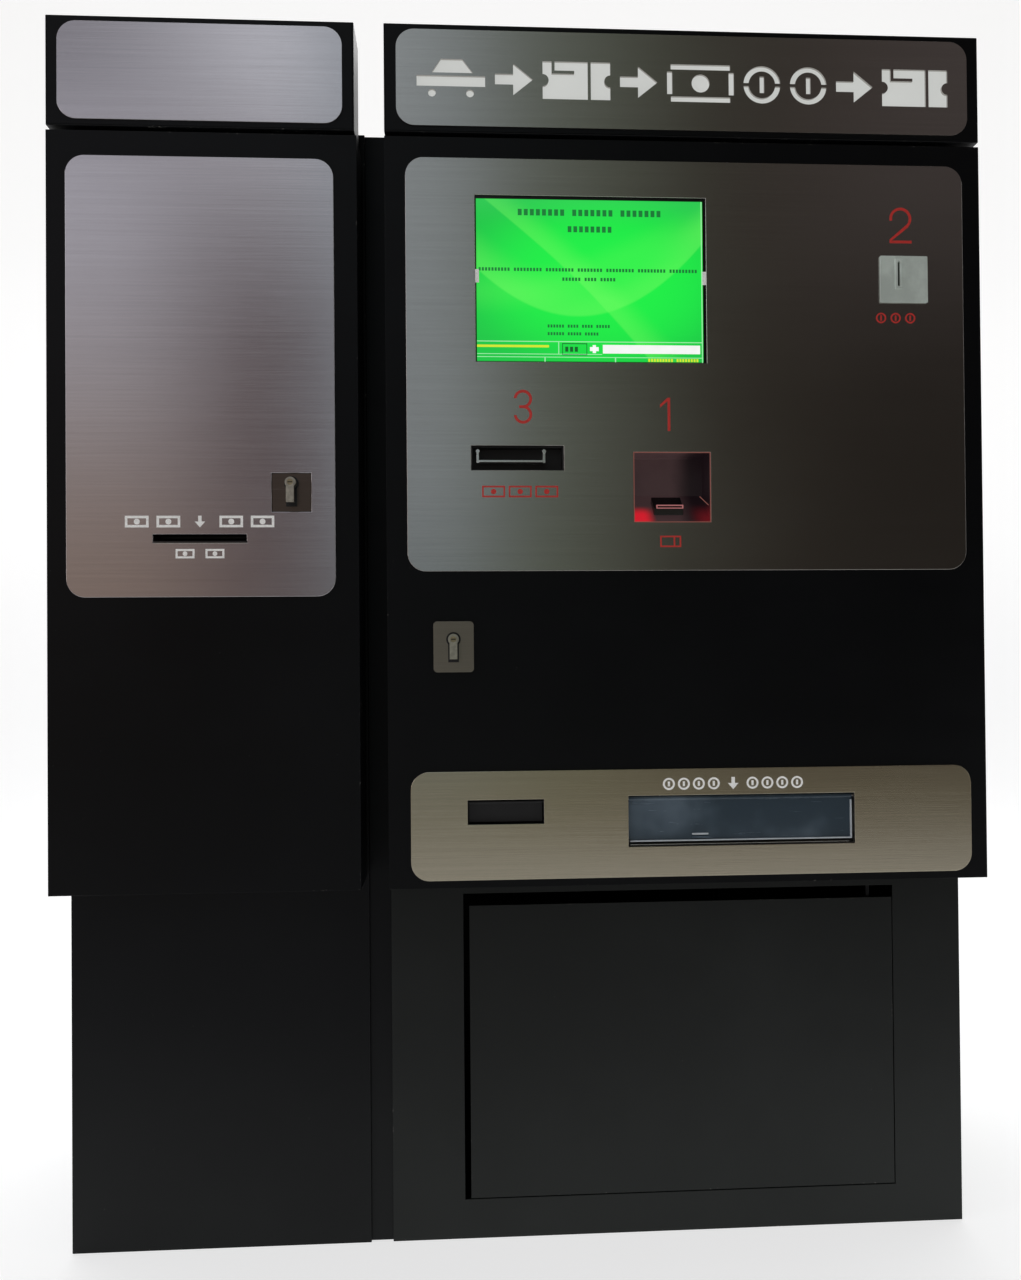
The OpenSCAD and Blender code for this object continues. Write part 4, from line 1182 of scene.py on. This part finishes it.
class STATION_OT_change(bpy.types.Operator):
    """Finishes the banknote dispenser of the change cabinet"""

    bl_idname = "station.change"
    bl_label = "Note change"

    def execute(self, context):
        edges = context.scene.station_edges
        dress("note_outlet", "gloss_black", edges.cut)
        low, high = span("note_outlet")
        bm = bmesh.new()
        slab(bm, (low.x + 7 * MM, low.y + 2.5 * MM, low.z + 5 * MM),
             (high.x - 5 * MM, low.y + 5 * MM, low.z + 6.2 * MM), 0.3 * MM)
        add_detail("note_outlet_lip", bm, "bright", "note_outlet")
        dress("note_dispenser", "unit", edges.moulded)
        dress("note_cassette", "cash", edges.moulded)
        case = span("note_cassette")
        low, high = span("note_dispenser")
        front = case[0].y + 17 * MM
        bm = bmesh.new()
        for side in (case[0].x + 4 * MM, case[1].x - 16 * MM):
            for row in range(3):
                z = high.z - 20 * MM - row * 22 * MM
                rod(bm, (side + 6 * MM, front + 1 * MM, z), (side + 6 * MM, front - 2.4 * MM, z),
                    7 * MM, 24, 0.6 * MM)
        add_detail("dispenser_rollers", bm, "pin", "note_dispenser")
        # The release tab takes the glowing green lamp finish: its glow is painted light, as the tab
        # is no lamp.
        bm = bmesh.new()
        slab(bm, (case[1].x - 44 * MM, front - 2 * MM, high.z - 26 * MM),
             (case[1].x - 24 * MM, front + 1 * MM, high.z - 14 * MM), 0.8 * MM)
        add_detail("dispenser_release", bm, "green_lamp", "note_dispenser")
        return {"FINISHED"}


class STATION_OT_locks(bpy.types.Operator):
    """Finishes the door locks"""

    bl_idname = "station.locks"
    bl_label = "Locks"

    def execute(self, context):
        for name in ("pay", "change"):
            # The change lock's plate takes the darker copy of the lock steel, a painted shade.
            dress(name + "_lock_plate", name + "_lock", 0.7 * MM)
            dress(name + "_lock_handle", "lever", 1.2 * MM)
            dress(name + "_key_plug", "brass", 0.2 * MM)
            low, high = span(name + "_key_plug")
            middle = (low + high) / 2
            bm = bmesh.new()
            slab(bm, (middle.x - 3.0 * MM, low.y - 0.15 * MM, middle.z - 0.6 * MM),
                 (middle.x + 3.0 * MM, low.y + 1 * MM, middle.z + 0.6 * MM))
            add_detail(name + "_keyway", bm, "deep_black", name + "_key_plug")
            # Painted shadow: a dark ring round the key plug and a dark bar behind the lever stand
            # in for the shadow round the handle.
            front = span(name + "_lock_plate")[0].y
            bm = bmesh.new()
            ring(bm, (middle.x, front, middle.z), (0, -1, 0), 6.2 * MM, 9.5 * MM, 0.3 * MM)
            slab(bm, (middle.x - 7 * MM, front - 0.3 * MM, middle.z - 30 * MM),
                 (middle.x + 7 * MM, front, middle.z - 6.5 * MM))
            add_detail(name + "_lock_painted_shadow", bm, "deep_black", name + "_lock_plate")
        return {"FINISHED"}


class STATION_OT_hinges(bpy.types.Operator):
    """Finishes the hinge pins"""

    bl_idname = "station.hinges"
    bl_label = "Hinges"

    def execute(self, context):
        edges = context.scene.station_edges
        top = span("lower_door")[1].z + 30 * MM
        recoat(dress("hinge_pins", "pin", edges.thin), "coat", lambda middle: middle.z < top)
        return {"FINISHED"}


class STATION_OT_lower_door(bpy.types.Operator):
    """Finishes the lower access door and its bolt"""

    bl_idname = "station.lower_door"
    bl_label = "Lower door"

    def execute(self, context):
        edges = context.scene.station_edges
        # The lighter copy of the coat: painted sheen of the pale floor.
        tone = context.scene.station_coat.floor_sheen_tone
        dress("lower_door", black_coat("lower_door_coat", span("lower_door"), tone), edges.fascia)
        dress("lower_door_bolt", "pin", edges.cut)
        return {"FINISHED"}


def duct_box():
    """Low and high corner of the wiring duct on the pay cabinet's back panel."""
    supply_low, supply_high = span("power_supply")
    back = span("pay_back_panel")[0].y
    top = supply_low.z - 22 * MM
    return (Vector((span("control_computer")[0].x, back - 26 * MM, top - 34 * MM)),
            Vector((supply_high.x + 30 * MM, back, top)))


class STATION_OT_equipment(bpy.types.Operator):
    """Finishes the computer and power supply, with the duct below them"""

    bl_idname = "station.equipment"
    bl_label = "Equipment"

    def execute(self, context):
        dress("control_computer", "case", 0.8 * MM)
        dress("power_supply", "zinc", 0.5 * MM)
        duct_low, duct_high = duct_box()
        bm = bmesh.new()
        slab(bm, duct_low, duct_high, 1.2 * MM)
        add_detail("wiring_duct", bm, "trunking", "control_computer")
        bm = bmesh.new()
        slot_width, slot_step = 3 * MM, 8 * MM
        x = duct_low.x + slot_step
        while x < duct_high.x - slot_step:
            slab(bm, (x, duct_low.y - 0.3 * MM, duct_low.z + 5 * MM),
                 (x + slot_width, duct_low.y + 0.3 * MM, duct_high.z - 5 * MM))
            x += slot_step
        add_detail("duct_slots", bm, "deep_black", "control_computer")
        low, high = span("control_computer")
        lamp = Vector((high.x - 20 * MM, low.y, high.z - 20 * MM))
        bm = bmesh.new()
        rod(bm, lamp, lamp - Vector((0, 16 * MM, 0)), 2.5 * MM, 16, 0.5 * MM)
        add_detail("computer_lamp", bm, "green_lamp", "control_computer")
        return {"FINISHED"}


class STATION_OT_leads(bpy.types.Operator):
    """Adds the leads from the duct to the computer, the power supply and the floor"""

    bl_idname = "station.leads"
    bl_label = "Leads"

    def execute(self, context):
        low, high = span("control_computer")
        supply_low, supply_high = span("power_supply")
        duct_low, duct_high = duct_box()
        back, drop = duct_high.y, duct_high.z
        plugs = bmesh.new()
        leads = {"black_wire": bmesh.new(), "red_wire": bmesh.new(), "yellow_wire": bmesh.new()}
        finishes = ("black_wire", "red_wire", "black_wire", "yellow_wire", "black_wire")
        for place, finish in enumerate(finishes):
            x = low.x + (40 + place * 42) * MM
            y = high.y - 40 * MM
            slab(plugs, (x - 9 * MM, y - 6 * MM, low.z - 9 * MM),
                 (x + 9 * MM, y + 6 * MM, low.z + 0.5 * MM), 1 * MM)
            wire(leads[finish], [(x, y, low.z - 8 * MM), (x, y, drop + 26 * MM),
                                 (x + 6 * MM, back - 13 * MM, drop + 14 * MM),
                                 (x + 6 * MM, back - 13 * MM, drop - 2 * MM)], 2.6 * MM)
        for place, finish in enumerate(("red_wire", "black_wire", "yellow_wire", "black_wire")):
            x = supply_low.x + (34 + place * 18) * MM
            y = supply_high.y - 20 * MM
            slab(plugs, (x - 6 * MM, y - 5 * MM, supply_low.z - 7 * MM),
                 (x + 6 * MM, y + 5 * MM, supply_low.z + 0.5 * MM), 0.8 * MM)
            wire(leads[finish], [(x, y, supply_low.z - 6 * MM), (x, y, drop - 2 * MM)],
                 1.8 * MM)
        entry_x, entry_y = next(
            mount["pos_m"] for mount in RECORD["mounts"] if mount["kind"] == "bore")[:2]
        base = span("pay_floor_plate")[1].z
        for place in (-1, 0, 1):
            x = entry_x + place * 9 * MM
            wire(leads["black_wire"], [
                (x, entry_y, base - 3 * MM), (x, entry_y, base + 60 * MM),
                (x + 150 * MM, back - 8 * MM, base + 190 * MM),
                (x + 150 * MM, back - 8 * MM, duct_low.z + 4 * MM)], 4.0 * MM)
        for finish, bm in leads.items():
            add_detail("leads_" + finish, bm, finish, "control_computer")
        add_detail("lead_plugs", plugs, "deep_black", "control_computer")
        return {"FINISHED"}


class STATION_OT_door_wiring(bpy.types.Operator):
    """Adds the wiring that runs along the inside of the pay door"""

    bl_idname = "station.door_wiring"
    bl_label = "Door wiring"

    def execute(self, context):
        door_low, door_high = span("pay_door")
        inner = door_low.y + 2 * MM
        screen_low = span("display_unit")[0]
        niche_low = span("ticket_niche")[0]
        mouth_high = span("banknote_mouth")[1]
        start = (mouth_high.x + niche_low.x) / 2
        end = door_high.x - 46 * MM
        level = niche_low.z - 44 * MM
        bm = bmesh.new()
        for place in (-2, -1, 0, 1, 2):
            shift = place * 4.4 * MM
            y = inner + 3 * MM
            wire(bm, [(start + shift, inner + 16 * MM, screen_low.z + 2 * MM),
                      (start + shift, y, screen_low.z - 22 * MM),
                      (start + shift, y, level + shift),
                      (end + shift, y, level + shift),
                      (end + shift, y, screen_low.z + 60 * MM)], 1.9 * MM)
        add_detail("door_wiring", bm, "black_wire", "display_unit")
        bm = bmesh.new()
        for x in (start + 60 * MM, start + 200 * MM, start + 330 * MM, end - 30 * MM):
            slab(bm, (x, inner, level - 13 * MM), (x + 7 * MM, inner + 7 * MM, level + 13 * MM),
                 1 * MM)
        add_detail("wiring_clips", bm, "trunking", "display_unit")
        return {"FINISHED"}


class STATION_OT_guides(bpy.types.Operator):
    """Adds the numerals and the small signs"""

    bl_idname = "station.guides"
    bl_label = "Signs"

    def execute(self, context):
        dress("guide_numerals", "red", 0.0)
        slot_low, slot_high = span("note_outlet")
        middle = (slot_low.x + slot_high.x) / 2
        y = span("change_fascia")[0].y
        bm = bmesh.new()
        row = slot_high.z + 3 * MM
        for place, sign in enumerate((note_sign, note_sign, down_arrow_sign, note_sign, note_sign)):
            width = 30 * MM if sign is note_sign else 15 * MM
            sign(bm, middle + (place - 2) * 40 * MM - width / 2, row, y, width)
        row = slot_low.z - 14 * MM
        for place in (-1, 1):
            note_sign(bm, middle + place * 19 * MM - 12 * MM, row, y, 24 * MM)
        add_detail("change_signs", bm, "white", "change_fascia")
        cup_low, cup_high = span("coin_cup")
        middle = (cup_low.x + cup_high.x) / 2 - 12 * MM
        y = span("lower_fascia")[0].y
        row = cup_high.z + 5 * MM
        bm = bmesh.new()
        for side in (-1, 1):
            for place in range(4):
                x = middle + side * (26 + place * 20) * MM - 8 * MM
                coin_sign(bm, x, row, y, 16 * MM)
        down_arrow_sign(bm, middle - 8 * MM, row, y, 16 * MM)
        add_detail("cup_signs", bm, "white", "lower_fascia")
        return {"FINISHED"}


# ---- Stage ----


class STATION_OT_stage(bpy.types.Operator):
    """Sets the floor, the backdrop, the light and the camera"""

    bl_idname = "station.stage"
    bl_label = "Stage"

    def execute(self, context):
        stage = context.scene.station_stage
        finish = Finish("stage_paper")
        place = finish.place()
        fleck = finish.noise(place, 3.0, 2.0, 0.5)
        x, y, z = finish.axes(place)
        seen = finish.add("ShaderNodeLightPath", output="Is Camera Ray")
        glow = finish.blend(y.above(-1.25, -0.30).most(seen), grey(0.16), grey(1.0))
        glow = finish.blend(z.above(0.2, 3.0) * seen, glow, grey(1.14))
        paper = finish.surface(
            Base_Color=finish.blend(fleck, grey(0.50), grey(0.52)), Roughness=0.9,
            Specular_IOR_Level=0.1, Emission_Color=glow, Emission_Strength=stage.floor_glow)
        bm = bmesh.new()
        back, bend, facets, half_width = 3.0, 1.5, 8, 8.0
        angles = [step / facets * pi / 2 for step in range(1, facets + 1)]
        line = [(-3.0, 0.0), (back, 0.0)]
        line += [(back + bend * sin(angle), bend - bend * cos(angle)) for angle in angles]
        line.append((back + bend, 8.0))
        verts = [bm.verts.new((-half_width, y, z)) for y, z in line]
        edges = [bm.edges.new(pair) for pair in zip(verts, verts[1:])]
        drawn = bmesh.ops.extrude_edge_only(bm, edges=edges)
        moved = [item for item in drawn["geom"] if isinstance(item, bmesh.types.BMVert)]
        bmesh.ops.translate(bm, verts=moved, vec=(2 * half_width, 0, 0))
        for face in bm.faces:
            face.smooth = True
        mesh = bpy.data.meshes.new("stage_sweep")
        bm.to_mesh(mesh)
        bm.free()
        sweep = bpy.data.objects.new("stage_sweep", mesh)
        context.collection.objects.link(sweep)
        mesh.materials.append(paper)
        soft_light(context, "top_light", (0, 1.3, 3.6), (0, 0.9, 0), (4.5, 3.2),
                   stage.top_light)
        soft_light(context, "left_light", (-3.4, -1.0, 1.8), (-0.2, 0, 1.0), (1.4, 2.2),
                   stage.side_light)
        soft_light(context, "right_light", (3.6, -0.9, 1.8), (0.2, 0, 1.0), (1.4, 2.2),
                   stage.side_light * 0.6)
        context.scene.world = studio_world()

        camera = bpy.data.cameras.new("camera")
        camera.lens = stage.lens
        camera.sensor_width = 36.0
        camera.clip_start = 0.01
        holder = bpy.data.objects.new("camera", camera)
        holder.location = stage.eye
        holder.rotation_euler = stage.turn
        context.collection.objects.link(holder)
        context.scene.camera = holder
        context.scene.view_settings.view_transform = "Standard"
        return {"FINISHED"}


def studio_world():
    """The soft light and dark areas that the plates mirror, left to right, and pale walls."""
    world = bpy.data.worlds.new("studio")
    sky = Finish("studio", world)
    x, y, z = sky.axes(sky.add("ShaderNodeTexCoord", output="Generated"))
    wall = sky.blend(z.above(0.05, 0.40), (0.32, 0.24, 0.19), (0.60, 0.60, 0.65))
    passage = sky.blend(z.above(0.31, 0.43), (0.125, 0.088, 0.086), (0.46, 0.45, 0.48))
    crown = sky.blend(x.above(-0.34, -0.10), (0.24, 0.23, 0.26), (0.92, 0.95, 1.0))
    window = sky.blend(z.above(0.0, 0.20), (0.24, 0.29, 0.31), (0.42, 0.48, 0.52))
    dim_end = sky.blend(z.above(0.22, 0.46), (0.026, 0.022, 0.019), (0.095, 0.080, 0.078))
    front = sky.blend(x.above(-0.285, -0.215), wall, passage)
    front = sky.blend(z.above(0.445, 0.475), front, crown)
    front = sky.blend(x.above(-0.13, -0.09), front, window)
    front = sky.blend(x.above(-0.01, 0.06), front, (0.155, 0.180, 0.140))
    front = sky.blend(x.above(0.06, 0.26), front, (0.045, 0.038, 0.030))
    front = sky.blend(x.above(0.20, 0.42), front, dim_end)
    front = sky.blend(z.above(-0.25, 0.0), (0.24, 0.22, 0.175), front)
    whole = sky.blend(y.above(0.0, 0.5), front, grey(0.93))
    seen = sky.add("ShaderNodeLightPath", output="Is Camera Ray")
    whole = sky.blend(seen, whole, grey(0.93))
    light = sky.add("ShaderNodeBackground", None, {"Color": whole, "Strength": 1.0})
    sky.add("ShaderNodeOutputWorld", None, {"Surface": light})
    return world


def soft_light(context, name, place, aim, size, power):
    """A rectangular light that faces aim."""
    lamp = bpy.data.lights.new(name, "AREA")
    lamp.shape = "RECTANGLE"
    lamp.size, lamp.size_y = size
    lamp.energy = power
    holder = bpy.data.objects.new(name, lamp)
    holder.location = place
    facing = Vector(aim) - Vector(place)
    holder.rotation_euler = facing.to_track_quat("-Z", "Y").to_euler()
    context.collection.objects.link(holder)


# ---- Add-on ----


OPERATORS = (
    STATION_OT_finishes, STATION_OT_stage, STATION_OT_cabinets, STATION_OT_backs,
    STATION_OT_anchors, STATION_OT_headers, STATION_OT_doors, STATION_OT_fascias,
    STATION_OT_screen, STATION_OT_display, STATION_OT_banknotes, STATION_OT_tickets,
    STATION_OT_coins, STATION_OT_vault, STATION_OT_cup, STATION_OT_receipts,
    STATION_OT_change, STATION_OT_locks, STATION_OT_hinges, STATION_OT_lower_door,
    STATION_OT_equipment, STATION_OT_leads, STATION_OT_door_wiring, STATION_OT_guides)


class STATION_PT_panel(bpy.types.Panel):
    """Lists the settings and the steps of the build"""

    bl_idname = "STATION_PT_panel"
    bl_label = "Pay station"
    bl_space_type = "VIEW_3D"
    bl_region_type = "UI"
    bl_category = "Pay station"

    def draw(self, context):
        for name, group in SETTINGS.items():
            box = self.layout.box()
            box.label(text=group.__doc__)
            for prop in group.__annotations__:
                box.prop(getattr(context.scene, name), prop)
        for operator in OPERATORS:
            self.layout.operator(operator.bl_idname)


CLASSES = (*SETTINGS.values(), *OPERATORS, STATION_PT_panel)


def register():
    for cls in CLASSES:
        bpy.utils.register_class(cls)
    for name, group in SETTINGS.items():
        setattr(bpy.types.Scene, name, PointerProperty(type=group))


def unregister():
    for name in SETTINGS:
        delattr(bpy.types.Scene, name)
    for cls in reversed(CLASSES):
        bpy.utils.unregister_class(cls)


def main():
    register()
    for operator in OPERATORS:
        getattr(bpy.ops.station, operator.bl_idname.split(".")[1])()


if __name__ == "__main__":
    main()
